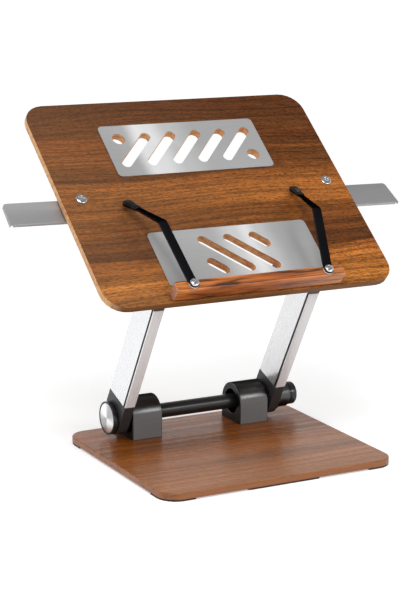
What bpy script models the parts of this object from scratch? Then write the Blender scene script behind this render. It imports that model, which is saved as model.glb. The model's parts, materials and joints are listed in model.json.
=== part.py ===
"""Folding book stand: a wooden tray on two hollow arms over a wooden base.

The stand is built the way it comes apart on a bench.  A base board on thin pads carries two
bored hinge blocks.  A shaft in them turns the two arms, and a second shaft at the top of the
arms carries the tray.  The tray has two slotted steel plates, a ledge with two swinging page
clips, and two side bars that slide out of a rail on its back.

Units are metres.  +X is to the reader's right, +Y away from the reader, +Z up.  The origin is
on the desk, under the middle of the stand's outline.
"""
import math

import bmesh
import bpy
from mathutils import Vector

# Clearances that every piece shares
SEAT_GAP = 0.0003        # between two pieces that rest on each other
RUN_GAP = 0.0003         # round a piece that turns or slides
CUT_OVER = 0.0020        # how far a cutter runs past the face that it opens
WELD = 0.00001           # points closer than this are one point

# Base board and the pads under it
BASE_WIDTH = 0.3220
BASE_DEPTH = 0.2730
BASE_THICK = 0.0082
BASE_CORNER = 0.0250
BOARD_EDGE = 0.0013      # rounding along the edges of both boards
PAD_THICK = 0.0013
PAD_WIDTH = 0.0120
PAD_LENGTH = 0.1000
PAD_REACH = 0.0150       # straight ends of a corner pad
PAD_INSET = 0.0005

# Lower hinge: blocks on the base, the shaft through them, the clamp at its ends
HINGE_FROM_BACK = 0.0425 # the shaft's axis, before the back edge of the base
BLOCK_WIDTH = 0.0420
BLOCK_RADIUS = 0.0245
BLOCK_RISE = 0.0259      # axis over the block's own foot
BLOCK_BORE = 0.0160
BLOCK_EDGE = 0.0016
BUSH_LENGTH = 0.0280
SHAFT_RADIUS = 0.0095
STUD_RADIUS = 0.0050     # thinner ends of the shaft
STUD_BITE = 0.0040       # how far a stud enters its cap or knob
WASHER_RADIUS = 0.0180
WASHER_THICK = 0.0030
CAP_RADIUS = 0.0212
CAP_LENGTH = 0.0072
CAP_EDGE = 0.0010
CAP_NECK = 0.0196        # radius of the groove where the cap meets the arm
CAP_NECK_LENGTH = 0.0012
DISC_RADIUS = 0.0188
DISC_THICK = 0.0012
DISC_SUNK = 0.0004
HUB_RADIUS = 0.0165
HUB_LENGTH = 0.0208
HUB_EDGE = 0.0012
HUB_FLANGE = 0.0192      # wider seat against the arm
HUB_FLANGE_LENGTH = 0.0040
KNOB_RADIUS = 0.0150
KNOB_LENGTH = 0.0116
KNOB_EDGE = 0.0022
KNOB_GROOVE = 0.0008
KNOB_GROOVE_WIDTH = 0.0011
KNOB_GROOVE_AT = 0.0018

# Screws that hold the hinge blocks, sunk into the underside of the base
BASE_SCREW_HEAD = 0.0043
BASE_SCREW_SINK = 0.0024
BASE_SCREW_SHANK = 0.0022
BASE_SCREW_BITE = 0.0120
BASE_SCREW_SPREAD = 0.0197

# Arms
ARM_SPAN = 0.2336        # over the outer faces of the two arms
ARM_THICK = 0.0142
ARM_WIDTH = 0.0444
ARM_WALL = 0.0018
ARM_CORNER = 0.0012
ARM_GROOVE = 0.0011      # width and depth of the groove beside each corner
ARM_GROOVE_AT = 0.0012   # land between the groove and the narrow face
ARM_LENGTH = 0.2120      # from the lower axis to the upper axis
LOWER_SHOULDER = 0.0330  # from the lower axis to the metal's end
UPPER_SHOULDER = 0.0200
SPIGOT_LENGTH = 0.0220
KNUCKLE_EDGE = 0.0008
ARM_LEAN = math.radians(61.9)
SHOULDER_SLANT = math.radians(7.6)

# Upper hinge: a shaft through the arms and the two blocks on the tray's back
UPPER_SHAFT = 0.0070
UPPER_BEHIND = 0.0345    # axis behind the tray's face
UPPER_UP = 0.0499        # axis over the tray's bottom edge
UPPER_BLOCK_WIDTH = 0.0360
UPPER_BLOCK_RADIUS = 0.0180
UPPER_WASHER_RADIUS = 0.0150
UPPER_CAP_RADIUS = 0.0140
UPPER_CAP_LENGTH = 0.0050
UPPER_STUD = 0.0040
UPPER_STUD_BITE = 0.0030
FOOT_REACH = 0.0130      # screw feet beyond the block's round part
FOOT_THICK = 0.0040
FOOT_DRAFT = 0.0005      # the feet thin out by this towards their tips

# Small screws from behind: tray blocks and ledge
SMALL_HEAD = 0.0040
SMALL_HEAD_HEIGHT = 0.0022
SMALL_SHANK = 0.0018
BLOCK_SCREW_BITE = 0.0070
LEDGE_SCREW_BITE = 0.0110

# Tray and the two plates laid on its face
TRAY_WIDTH = 0.4000
TRAY_HEIGHT = 0.3245
TRAY_THICK = 0.0093
TRAY_CORNER = 0.0285
TRAY_TILT = math.radians(38.9)
PLATE_WIDTH = 0.2220
PLATE_HEIGHT = 0.0840
PLATE_CORNER = 0.0060
PLATE_THICK = 0.0010
UPPER_PLATE_UP = 0.2407  # middle of each plate over the tray's bottom edge
LOWER_PLATE_UP = 0.0647
SLOT_WIDTH = 0.0130
SLOT_EASE = 0.0004       # the wood stands back from the plate's slots
LONG_SLOT = 0.0600       # between the centres of a slot's two ends
MIDDLE_SLOT = 0.0670
SHORT_SLOT = 0.0180
UPPER_PITCH = 0.0359
LOWER_PITCH = 0.0359
HOLE_RADIUS = 0.0088
HOLE_SIDE = 0.0889       # the round holes, from the plate's middle
HOLE_RISE = 0.0196
SLOT_SLANT = math.radians(45.0)

# Ledge
LEDGE_LENGTH = 0.2340
LEDGE_HEIGHT = 0.0150
LEDGE_DEPTH = 0.0192
LEDGE_LIFT = 0.0018
LEDGE_EDGE = 0.0020
LEDGE_CORNER = 0.0045    # round upper corners of its two ends
LEDGE_SCREW_SIDE = 0.0700

# Page clips
CLIP_SIDE = 0.0932
CLIP_WIDTH = 0.0124
CLIP_TIP_WIDTH = 0.0060  # the strip narrows from its bend to its tip
CLIP_THICK = 0.0016
CLIP_FLAT = 0.0090       # flat part round the screw
CLIP_TO_BEND = 0.0822    # from the screw to the bend, along the tray
CLIP_RISE = 0.0187       # how far the bend stands out beyond the flat part
CLIP_TO_TIP = 0.0663     # from the bend to the tip, along the tray
CLIP_BEND = 0.0050       # radius of the bend
TIP_OUT = 0.0046         # middle of the strip's tip over the tray's face
CLIP_SWING_LEFT = math.radians(11.2)
CLIP_SWING_RIGHT = math.radians(-8.9)
BOOT_LENGTH = 0.0270
BOOT_WIDTH = 0.0140
BOOT_WALL = 0.0009       # rubber beside the strip at the boot's mouth
BOOT_THICK = 0.0068
BOOT_ROUND = 0.0024
BOOT_COVER = 0.0010      # the strip stops short of the boot's end by this
CLIP_WASHER = 0.0064
CLIP_WASHER_THICK = 0.0010
CLIP_SCREW_HEAD = 0.0055
CLIP_SCREW_HEIGHT = 0.0032
CLIP_SCREW_SHANK = 0.0021
CLIP_SCREW_BITE = 0.0110

# Bolts seen on the tray's face, which hold the rail behind it
TRAY_BOLT_SIDE = 0.1740
TRAY_BOLT_UP = 0.1680
TRAY_BOLT_HEAD = 0.0070
TRAY_BOLT_HEIGHT = 0.0026
TRAY_BOLT_SHANK = 0.0020

# Side bars and their rail
BAR_WIDTH = 0.0340
BAR_LENGTH = 0.1950
BAR_DEPTH = 0.0042
BAR_SHEET = 0.0012
BAR_CORNER = 0.0050
BAR_REACH = 0.2700       # upper outer corner from the middle, pulled out
BAR_SLANT_LEFT = 0.0000  # how much further out the lower outer corner lies
BAR_SLANT_RIGHT = 0.0060
BAR_NOTCH = 0.0030
RAIL_UP = 0.1560         # middle of the rail over the tray's bottom edge
RAIL_SHEET = 0.0015
RAIL_LENGTH = 0.3760
RAIL_LIP = 0.0060
RAIL_TURN = math.radians(-1.5)

# Facets
ROUND_STEPS = 32
MEDIUM_STEPS = 20
HEAD_STEPS = 16
SMALL_STEPS = 10
CORNER_STEPS = 6
SLOT_STEPS = 8
EDGE_STEPS = 2
SHARP = math.radians(32)

# Places that follow from the sizes
BOARD_TOP = PAD_THICK + SEAT_GAP + BASE_THICK
HINGE_BACK = BASE_DEPTH / 2 - HINGE_FROM_BACK
AXIS_HEIGHT = BOARD_TOP + SEAT_GAP + BLOCK_RISE
ARM_MIDDLE = (ARM_SPAN - ARM_THICK) / 2
ARM_INSIDE = ARM_SPAN / 2 - ARM_THICK
BLOCK_OUTSIDE = ARM_INSIDE - WASHER_THICK - 2 * SEAT_GAP
ARM_TURN = math.pi / 2 - ARM_LEAN
TRAY_BACK = HINGE_BACK - ARM_LENGTH * math.cos(ARM_LEAN)
TRAY_BACK -= UPPER_UP * math.cos(TRAY_TILT) + UPPER_BEHIND * math.sin(TRAY_TILT)
REAR_REACH = TRAY_BACK + TRAY_HEIGHT * math.cos(TRAY_TILT) + TRAY_THICK * math.sin(TRAY_TILT)
STAND_SHIFT = (BASE_DEPTH / 2 - REAR_REACH) / 2
CLIP_UP = LEDGE_LIFT + LEDGE_HEIGHT / 2
CLIP_SEAT = SEAT_GAP + LEDGE_DEPTH + SEAT_GAP + CLIP_WASHER_THICK + SEAT_GAP
ALONG_X = (0, math.pi / 2, 0)                 # turns local Z to +X
ACROSS_X = (math.pi / 2, 0, math.pi / 2)      # turns local XY to YZ and local Z to +X
FACE_DOWN = (math.pi, 0, 0)

FINISHES = {
    "walnut": ((0.22, 0.10, 0.045), 0.0, 0.45),
    "acacia": ((0.36, 0.13, 0.045), 0.0, 0.40),
    "brushed_steel": ((0.60, 0.60, 0.61), 1.0, 0.35),
    "bar_steel": ((0.40, 0.40, 0.41), 1.0, 0.40),
    "polished_aluminium": ((0.88, 0.88, 0.90), 1.0, 0.22),
    "spun_aluminium": ((0.80, 0.80, 0.81), 1.0, 0.28),
    "black_metal": ((0.035, 0.036, 0.037), 0.2, 0.38),
    "black_strip": ((0.02, 0.02, 0.024), 0.3, 0.45),
    "rubber": ((0.015, 0.015, 0.016), 0.0, 0.70),
    "chrome": ((0.80, 0.80, 0.82), 1.0, 0.15),
    "nylon": ((0.80, 0.78, 0.76), 0.0, 0.40),
}


def clear_scene():
    """Takes away whatever the scene held before."""
    for old in list(bpy.data.objects):
        bpy.data.objects.remove(old, do_unlink=True)


def new_collection(name):
    """A collection linked to the scene."""
    group = bpy.data.collections.new(name)
    bpy.context.scene.collection.children.link(group)
    return group


def finish(name):
    """The material of this name, made once."""
    made = bpy.data.materials.get(name)
    if made is None:
        colour, metal, rough = FINISHES[name]
        made = bpy.data.materials.new(name)
        made.use_nodes = True
        shader = made.node_tree.nodes["Principled BSDF"]
        shader.inputs["Base Color"].default_value = (*colour, 1)
        shader.inputs["Metallic"].default_value = metal
        shader.inputs["Roughness"].default_value = rough
        made.diffuse_color = (*colour, 1)
    return made


def frame_at(name, parent, place, turn=(0, 0, 0)):
    """An empty that carries the pieces of one moving group."""
    holder = bpy.data.objects.new(name, None)
    STAND.objects.link(holder)
    holder.parent = parent
    holder.location = place
    holder.rotation_euler = turn
    return holder


def put(mesh, name, look, parent, place=(0, 0, 0), turn=(0, 0, 0)):
    """A finished mesh as a named piece of the stand."""
    mesh.name = name
    mesh.shade_smooth()
    mesh.set_sharp_from_angle(angle=SHARP)
    piece = bpy.data.objects.new(name, mesh)
    STAND.objects.link(piece)
    piece.data.materials.append(finish(look))
    piece.parent = parent
    piece.location = place
    piece.rotation_euler = turn
    return piece


def cutter(mesh, name, parent, place=(0, 0, 0), turn=(0, 0, 0)):
    """A mesh that only cuts others."""
    tool = bpy.data.objects.new(name, mesh)
    CUTTERS.objects.link(tool)
    tool.parent = parent
    tool.location = place
    tool.rotation_euler = turn
    tool.hide_render = True
    tool.display_type = "WIRE"
    return tool


def baked(source):
    """The evaluated mesh of a passing object, which is then removed."""
    depsgraph = bpy.context.evaluated_depsgraph_get()
    mesh = bpy.data.meshes.new_from_object(source.evaluated_get(depsgraph))
    bpy.data.objects.remove(source, do_unlink=True)
    work = bmesh.new()
    work.from_mesh(mesh)
    bmesh.ops.remove_doubles(work, verts=work.verts, dist=WELD)
    bmesh.ops.recalc_face_normals(work, faces=work.faces)
    work.to_mesh(mesh)
    work.free()
    return mesh


def slab(loops, thick):
    """Closed loops filled in the XY plane, from z = 0 up to thick."""
    curve = bpy.data.curves.new("outline", "CURVE")
    curve.dimensions = "2D"
    curve.fill_mode = "BOTH"
    curve.extrude = thick / 2
    for loop in loops:
        spline = curve.splines.new("POLY")
        spline.points.add(len(loop) - 1)
        for point, (x, y) in zip(spline.points, loop):
            point.co = (x, y, 0, 1)
        spline.use_cyclic_u = True
    holder = bpy.data.objects.new("outline", curve)
    CUTTERS.objects.link(holder)
    mesh = baked(holder)
    for vertex in mesh.vertices:
        vertex.co.z += thick / 2
    return mesh


def turned(profile, steps):
    """A profile of (radius, height) points turned about local Z, with its ends on the axis."""
    mesh = bpy.data.meshes.new("profile")
    points = [(radius, 0, height) for radius, height in profile]
    mesh.from_pydata(points, [(i, i + 1) for i in range(len(points) - 1)], [])
    return spun(mesh, steps)


def turned_ring(profile, steps):
    """A closed profile turned about local Z, for washers and bushes."""
    mesh = bpy.data.meshes.new("profile")
    points = [(radius, 0, height) for radius, height in profile]
    count = len(points)
    mesh.from_pydata(points, [(i, (i + 1) % count) for i in range(count)], [])
    return spun(mesh, steps)


def spun(mesh, steps):
    """The Screw modifier's full turn of an edge profile, as a mesh."""
    holder = bpy.data.objects.new("profile", mesh)
    CUTTERS.objects.link(holder)
    screw = holder.modifiers.new("turn", "SCREW")
    screw.steps = steps
    screw.render_steps = steps
    screw.use_merge_vertices = True
    screw.merge_threshold = WELD
    return baked(holder)


def soften(piece, width, steps=EDGE_STEPS, angle=SHARP):
    """Rounds the sharp edges of a piece."""
    bevel = piece.modifiers.new("edges", "BEVEL")
    bevel.width = width
    bevel.segments = steps
    bevel.limit_method = "ANGLE"
    bevel.angle_limit = angle
    return piece


def cut(piece, tool):
    """Takes the tool's shape out of the piece."""
    boolean = piece.modifiers.new("cut", "BOOLEAN")
    boolean.operation = "DIFFERENCE"
    boolean.object = tool


def join(piece, tool):
    """Adds the tool's shape to the piece."""
    boolean = piece.modifiers.new("join", "BOOLEAN")
    boolean.operation = "UNION"
    boolean.object = tool


def arc(centre, radius, start, end, steps):
    """Points on an arc, both ends included."""
    turn = (end - start) / steps
    angles = [start + turn * i for i in range(steps + 1)]
    return [(centre[0] + radius * math.cos(a), centre[1] + radius * math.sin(a)) for a in angles]


def rounded_rectangle(width, height, radius, middle=(0, 0)):
    """Outline of a rectangle with round corners, anticlockwise."""
    x, y = width / 2 - radius, height / 2 - radius
    points = []
    for quarter, (side, up) in enumerate(((1, 1), (-1, 1), (-1, -1), (1, -1))):
        start = quarter * math.pi / 2
        centre = (middle[0] + side * x, middle[1] + up * y)
        points += arc(centre, radius, start, start + math.pi / 2, CORNER_STEPS)
    return points


def slot_outline(middle, length, width, slant):
    """A slot with round ends: length is between the centres of its ends."""
    along = Vector((math.cos(slant), math.sin(slant))) * length / 2
    half = math.pi / 2
    ahead = (middle[0] + along.x, middle[1] + along.y)
    behind = (middle[0] - along.x, middle[1] - along.y)
    points = arc(ahead, width / 2, slant - half, slant + half, SLOT_STEPS)
    return points + arc(behind, width / 2, slant + half, slant + 3 * half, SLOT_STEPS)


def upper_slots(width, hole):
    """Five slanted slots in a row and a round hole at two corners, about the plate's middle."""
    loops = [slot_outline((i * UPPER_PITCH, 0), LONG_SLOT, width, SLOT_SLANT) for i in range(-2, 3)]
    for side in (-1, 1):
        centre = (side * HOLE_SIDE, -side * HOLE_RISE)
        loops.append(arc(centre, hole, 0, 2 * math.pi, 2 * SLOT_STEPS)[:-1])
    return loops


def lower_slots(width):
    """Two long slots with a short one at either side, about the plate's middle."""
    drop = (MIDDLE_SLOT - SHORT_SLOT) / 2 * math.cos(SLOT_SLANT)
    lean = math.pi - SLOT_SLANT
    loops = []
    for side in (-1, 1):
        near = LOWER_PITCH / 2
        loops.append(slot_outline((side * near, 0), MIDDLE_SLOT, width, lean))
        far = (side * (near + LOWER_PITCH - drop), side * drop)
        loops.append(slot_outline(far, SHORT_SLOT, width, lean))
    return loops


def base_board():
    """The board that lies on the desk, with sunk holes for the block screws."""
    outline = rounded_rectangle(BASE_WIDTH, BASE_DEPTH, BASE_CORNER)
    place = (0, 0, PAD_THICK + SEAT_GAP)
    board = put(slab([outline], BASE_THICK), "base_board", "walnut", BASE_FRAME, place)
    soften(board, BOARD_EDGE)
    return board


def corner_pad_outline():
    """A bent strip that follows the board's corner, in the +X +Y quarter."""
    outer = BASE_CORNER - PAD_INSET
    inner = outer - PAD_WIDTH
    points = [(outer, -PAD_REACH)] + arc((0, 0), outer, 0, math.pi / 2, CORNER_STEPS)
    points += [(-PAD_REACH, outer), (-PAD_REACH, inner)]
    return points + arc((0, 0), inner, math.pi / 2, 0, CORNER_STEPS) + [(inner, -PAD_REACH)]


def pads():
    """Four corner pads and a strip under the middle of the front and back edges."""
    x, y = BASE_WIDTH / 2 - BASE_CORNER, BASE_DEPTH / 2 - BASE_CORNER
    corners = (("back_right", x, y, 0), ("back_left", -x, y, 1))
    corners += (("front_left", -x, -y, 2), ("front_right", x, -y, 3))
    for word, px, py, quarter in corners:
        turn = (0, 0, quarter * math.pi / 2)
        pad = slab([corner_pad_outline()], PAD_THICK)
        put(pad, "pad_" + word, "rubber", BASE_FRAME, (px, py, 0), turn)
    strip = rounded_rectangle(PAD_LENGTH, PAD_WIDTH, PAD_WIDTH / 4)
    edge = BASE_DEPTH / 2 - PAD_INSET - PAD_WIDTH / 2
    put(slab([strip], PAD_THICK), "pad_front_middle", "rubber", BASE_FRAME, (0, -edge, 0))
    put(slab([strip], PAD_THICK), "pad_back_middle", "rubber", BASE_FRAME, (0, edge, 0))


def sunk_screw(length, grow=0):
    """Profile of a countersunk screw, head at z = 0 and pointing down, or of its hole."""
    top = CUT_OVER if grow else 0
    neck = -BASE_SCREW_SINK - grow
    end = -length - grow
    head, shank = BASE_SCREW_HEAD + grow, BASE_SCREW_SHANK + grow
    points = [(0, top), (head, top)]
    if grow:
        points.append((head, -grow))
    return points + [(shank, neck), (shank, end + shank), (0, end)]


def headed_screw(length, head, height, shank, grow=0):
    """Profile of a screw with a low domed head on the plane z = 0, or of its hole."""
    if grow:
        return [(0, CUT_OVER), (shank + grow, CUT_OVER), (shank + grow, -length - grow),
                (0, -length - grow)]
    dome = [(head * math.sin(a), height * math.cos(a)) for a in (0, math.pi / 5, math.pi / 3)]
    return dome + [(head, 0), (shank, 0), (shank, -length), (0, -length)]


def block_outline(radius, rise):
    """Side view of a hinge block about its axis: round over a straight-sided foot."""
    return arc((0, 0), radius, 0, math.pi, ROUND_STEPS // 2) + [(-radius, -rise), (radius, -rise)]


def hinge_blocks(board):
    """The two blocks on the base, each with a bush, held by two screws from below."""
    bore = arc((0, 0), BLOCK_BORE, 0, 2 * math.pi, ROUND_STEPS)[:-1]
    length = BASE_THICK + SEAT_GAP + BASE_SCREW_BITE
    for side, word in ((-1, "left"), (1, "right")):
        start = BLOCK_OUTSIDE - BLOCK_WIDTH if side > 0 else -BLOCK_OUTSIDE
        place = (start, HINGE_BACK, AXIS_HEIGHT)
        shape = slab([block_outline(BLOCK_RADIUS, BLOCK_RISE), bore], BLOCK_WIDTH)
        block = put(shape, "hinge_block_" + word, "black_metal", BASE_FRAME, place, ACROSS_X)
        soften(block, BLOCK_EDGE)
        outer, inner = BLOCK_BORE - RUN_GAP, SHAFT_RADIUS + RUN_GAP
        ring = [(outer, BUSH_LENGTH), (outer, 0), (inner, 0), (inner, BUSH_LENGTH)]
        seat = BLOCK_OUTSIDE - BUSH_LENGTH if side > 0 else -BLOCK_OUTSIDE
        put(turned_ring(ring, ROUND_STEPS), "hinge_bush_" + word, "black_metal", BASE_FRAME,
            (seat, HINGE_BACK, AXIS_HEIGHT), ALONG_X)
        middle = side * (BLOCK_OUTSIDE - BLOCK_WIDTH / 2)
        for row, end in ((-1, "front"), (1, "back")):
            spot = (middle, HINGE_BACK + row * BASE_SCREW_SPREAD, PAD_THICK + SEAT_GAP)
            name = "block_screw_%s_%s" % (word, end)
            put(turned(sunk_screw(length), SMALL_STEPS), name, "chrome", BASE_FRAME, spot,
                FACE_DOWN)
            hole = turned(sunk_screw(length, SEAT_GAP), SMALL_STEPS)
            tool = cutter(hole, name + "_hole", BASE_FRAME, spot, FACE_DOWN)
            cut(board, tool)
            cut(block, tool)


def shaft_and_washers():
    """The lower shaft with a thin stud at either end, and the washers beside the blocks."""
    left = -ARM_SPAN / 2 - SEAT_GAP - STUD_BITE
    right = ARM_SPAN / 2 + SEAT_GAP + HUB_LENGTH + SEAT_GAP + STUD_BITE
    body = ARM_SPAN / 2 - SEAT_GAP
    profile = [(0, right), (STUD_RADIUS, right), (STUD_RADIUS, body), (SHAFT_RADIUS, body)]
    profile += [(SHAFT_RADIUS, -body), (STUD_RADIUS, -body), (STUD_RADIUS, left), (0, left)]
    put(turned(profile, MEDIUM_STEPS), "lower_shaft", "black_metal", ARM_FRAME, (0, 0, 0), ALONG_X)
    outer, inner = WASHER_RADIUS, SHAFT_RADIUS + RUN_GAP
    ring = [(outer, WASHER_THICK), (outer, 0), (inner, 0), (inner, WASHER_THICK)]
    for side, word in ((-1, "left"), (1, "right")):
        middle = side * (BLOCK_OUTSIDE + SEAT_GAP + WASHER_THICK / 2) - WASHER_THICK / 2
        put(turned_ring(ring, MEDIUM_STEPS), "lower_washer_" + word, "black_metal", ARM_FRAME,
            (middle, 0, 0), ALONG_X)


def arm_outline():
    """Section of the arm: round corners with a fine groove beside each one."""
    x, y = ARM_THICK / 2, ARM_WIDTH / 2
    top = y - ARM_GROOVE_AT
    low = top - ARM_GROOVE
    deep = x - ARM_GROOVE
    quarter = [(x, low), (deep, low), (deep, top), (x, top)]
    quarter += arc((x - ARM_CORNER, y - ARM_CORNER), ARM_CORNER, 0, math.pi / 2, 2)[1:]
    half = quarter + [(-px, py) for px, py in reversed(quarter)]
    return half + [(-px, -py) for px, py in half]


def slanted(mesh):
    """Leans the ends of a piece that runs along Z, higher towards the reader."""
    for vertex in mesh.vertices:
        vertex.co.z -= vertex.co.y * math.tan(SHOULDER_SLANT)
    return mesh


def knuckle(name, x, flip, reach, bore):
    """A cast arm end: round about its axis, with a spigot that fills the hollow arm."""
    radius = ARM_WIDTH / 2
    slope = math.tan(SHOULDER_SLANT) * flip
    gap = reach - SEAT_GAP
    outline = arc((0, 0), radius, math.pi, 2 * math.pi, ROUND_STEPS // 2)
    outline += [(radius, gap - radius * slope), (-radius, gap + radius * slope)]
    hole = arc((0, 0), bore, 0, 2 * math.pi, MEDIUM_STEPS)[:-1]
    turn = ACROSS_X if flip > 0 else (-math.pi / 2, 0, math.pi / 2)
    step = -ARM_THICK / 2 if flip > 0 else ARM_THICK / 2
    height = 0 if flip > 0 else ARM_LENGTH
    piece = put(slab([outline, hole], ARM_THICK), name, "black_metal", ARM_FRAME,
                (x + step, 0, height), turn)
    soften(piece, KNUCKLE_EDGE, 1)
    inner = ARM_WIDTH / 2 - ARM_WALL - SEAT_GAP
    thick = ARM_THICK - 2 * (ARM_GROOVE + ARM_WALL + SEAT_GAP)
    root, end = gap - radius * abs(slope) - CUT_OVER, gap + SPIGOT_LENGTH
    spigot = slab([[(-inner, root), (inner, root), (inner, end), (-inner, end)]], thick)
    offset = -thick / 2 if flip > 0 else thick / 2
    tool = cutter(spigot, name + "_spigot", ARM_FRAME, (x + offset, 0, height), turn)
    join(piece, tool)


def arms():
    """Two hollow arms, each with a cast knuckle plugged into either end."""
    length = ARM_LENGTH - LOWER_SHOULDER - UPPER_SHOULDER
    hollow_x = ARM_THICK - 2 * (ARM_GROOVE + ARM_WALL)
    hollow_y = ARM_WIDTH - 2 * ARM_WALL
    hollow = [(hollow_x / 2, hollow_y / 2), (-hollow_x / 2, hollow_y / 2),
              (-hollow_x / 2, -hollow_y / 2), (hollow_x / 2, -hollow_y / 2)]
    for side, word in ((-1, "left"), (1, "right")):
        x = side * ARM_MIDDLE
        tube = slanted(slab([arm_outline(), hollow], length))
        put(tube, "arm_" + word, "polished_aluminium", ARM_FRAME, (x, 0, LOWER_SHOULDER))
        knuckle("lower_knuckle_" + word, x, 1, LOWER_SHOULDER, SHAFT_RADIUS + RUN_GAP)
        knuckle("upper_knuckle_" + word, x, -1, UPPER_SHOULDER, UPPER_SHAFT + RUN_GAP)


def pivot_cap():
    """The round cap on the left end of the lower shaft, with a spun metal disc let into it."""
    bore, depth = STUD_RADIUS + RUN_GAP, STUD_BITE + SEAT_GAP
    sunk = DISC_THICK + DISC_SUNK + SEAT_GAP
    rim = DISC_RADIUS + SEAT_GAP
    end = CAP_LENGTH
    profile = [(0, end - sunk), (rim, end - sunk), (rim, end), (CAP_RADIUS - CAP_EDGE, end),
               (CAP_RADIUS, end - CAP_EDGE), (CAP_RADIUS, CAP_NECK_LENGTH + CAP_EDGE / 2),
               (CAP_NECK, CAP_NECK_LENGTH), (CAP_NECK, 0), (bore, 0), (bore, depth), (0, depth)]
    place = (-ARM_SPAN / 2 - SEAT_GAP, 0, 0)
    outward = (0, -math.pi / 2, 0)
    put(turned(profile, ROUND_STEPS), "pivot_cap", "black_metal", ARM_FRAME, place, outward)
    face = end - sunk + SEAT_GAP
    disc = [(0, face + DISC_THICK), (DISC_RADIUS - DISC_SUNK, face + DISC_THICK),
            (DISC_RADIUS, face + DISC_THICK - DISC_SUNK), (DISC_RADIUS, face), (0, face)]
    put(turned(disc, ROUND_STEPS), "pivot_cap_disc", "spun_aluminium", ARM_FRAME, place, outward)


def clamp_knob():
    """The hub on the right end of the lower shaft and the knob that clamps it."""
    bore = STUD_RADIUS + RUN_GAP
    hub = [(HUB_RADIUS - HUB_EDGE, HUB_LENGTH), (HUB_RADIUS, HUB_LENGTH - HUB_EDGE),
           (HUB_RADIUS, HUB_FLANGE_LENGTH + HUB_FLANGE - HUB_RADIUS),
           (HUB_FLANGE, HUB_FLANGE_LENGTH), (HUB_FLANGE, 0), (bore, 0), (bore, HUB_LENGTH)]
    place = (ARM_SPAN / 2 + SEAT_GAP, 0, 0)
    put(turned_ring(hub, ROUND_STEPS), "clamp_hub", "black_metal", ARM_FRAME, place, ALONG_X)
    end, groove = KNOB_LENGTH, KNOB_RADIUS - KNOB_GROOVE
    after = KNOB_GROOVE_AT + KNOB_GROOVE_WIDTH
    depth = STUD_BITE + SEAT_GAP
    edge = arc((KNOB_RADIUS - KNOB_EDGE, end - KNOB_EDGE), KNOB_EDGE, math.pi / 2, 0, 3)
    knob = [(0, end)] + edge + [(KNOB_RADIUS, after), (groove, after), (groove, KNOB_GROOVE_AT),
                                (KNOB_RADIUS, KNOB_GROOVE_AT), (KNOB_RADIUS, 0), (bore, 0),
                                (bore, depth), (0, depth)]
    spot = (ARM_SPAN / 2 + HUB_LENGTH + 2 * SEAT_GAP, 0, 0)
    put(turned(knob, ROUND_STEPS), "clamp_knob", "black_metal", ARM_FRAME, spot, ALONG_X)


def upper_hinge(board):
    """The upper shaft, its washers and caps, and the blocks screwed to the tray's back."""
    body = ARM_SPAN / 2 - SEAT_GAP
    end = ARM_SPAN / 2 + SEAT_GAP + UPPER_STUD_BITE
    profile = [(0, end), (UPPER_STUD, end), (UPPER_STUD, body), (UPPER_SHAFT, body),
               (UPPER_SHAFT, -body), (UPPER_STUD, -body), (UPPER_STUD, -end), (0, -end)]
    put(turned(profile, MEDIUM_STEPS), "upper_shaft", "black_metal", ARM_FRAME,
        (0, 0, ARM_LENGTH), ALONG_X)
    inner = UPPER_SHAFT + RUN_GAP
    ring = [(UPPER_WASHER_RADIUS, WASHER_THICK), (UPPER_WASHER_RADIUS, 0), (inner, 0),
            (inner, WASHER_THICK)]
    bore, depth = UPPER_STUD + RUN_GAP, UPPER_STUD_BITE + SEAT_GAP
    tall, wide = UPPER_CAP_LENGTH, UPPER_CAP_RADIUS
    dome = [(wide * math.sin(a), depth + (tall - depth) * math.cos(a))
            for a in (0, math.pi / 6, math.pi / 3)]
    cap = dome + [(wide, depth / 2), (wide, 0), (bore, 0), (bore, depth), (0, depth)]
    rise = UPPER_BEHIND - TRAY_THICK - SEAT_GAP
    reach = UPPER_BLOCK_RADIUS + FOOT_REACH
    foot = FOOT_THICK - rise
    outline = arc((0, 0), UPPER_BLOCK_RADIUS, math.pi, 2 * math.pi, ROUND_STEPS // 2)
    tip = FOOT_DRAFT - foot
    outline += [(UPPER_BLOCK_RADIUS, -foot), (reach, tip), (reach, rise), (-reach, rise),
                (-reach, tip), (-UPPER_BLOCK_RADIUS, -foot)]
    hole = arc((0, 0), inner, 0, 2 * math.pi, MEDIUM_STEPS)[:-1]
    for side, word in ((-1, "left"), (1, "right")):
        washer = side * (BLOCK_OUTSIDE + SEAT_GAP + WASHER_THICK / 2) - WASHER_THICK / 2
        put(turned_ring(ring, MEDIUM_STEPS), "upper_washer_" + word, "black_metal", ARM_FRAME,
            (washer, 0, ARM_LENGTH), ALONG_X)
        place = (side * (ARM_SPAN / 2 + SEAT_GAP), 0, ARM_LENGTH)
        put(turned(cap, MEDIUM_STEPS), "upper_cap_" + word, "black_metal", ARM_FRAME, place,
            (0, side * math.pi / 2, 0))
        start = BLOCK_OUTSIDE - UPPER_BLOCK_WIDTH if side > 0 else -BLOCK_OUTSIDE
        block = put(slab([outline, hole], UPPER_BLOCK_WIDTH), "tray_block_" + word, "black_metal",
                    TRAY_PIVOT, (start, 0, 0), ACROSS_X)
        middle = side * (BLOCK_OUTSIDE - UPPER_BLOCK_WIDTH / 2)
        spread = UPPER_BLOCK_RADIUS + FOOT_REACH / 2
        for row, level in ((-1, "low"), (1, "high")):
            spot = (middle, row * spread, -foot - SEAT_GAP)
            name = "tray_block_screw_%s_%s" % (word, level)
            length = FOOT_THICK + 2 * SEAT_GAP + BLOCK_SCREW_BITE
            small_screw(name, length, TRAY_PIVOT, spot, FACE_DOWN, (board, block))


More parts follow.
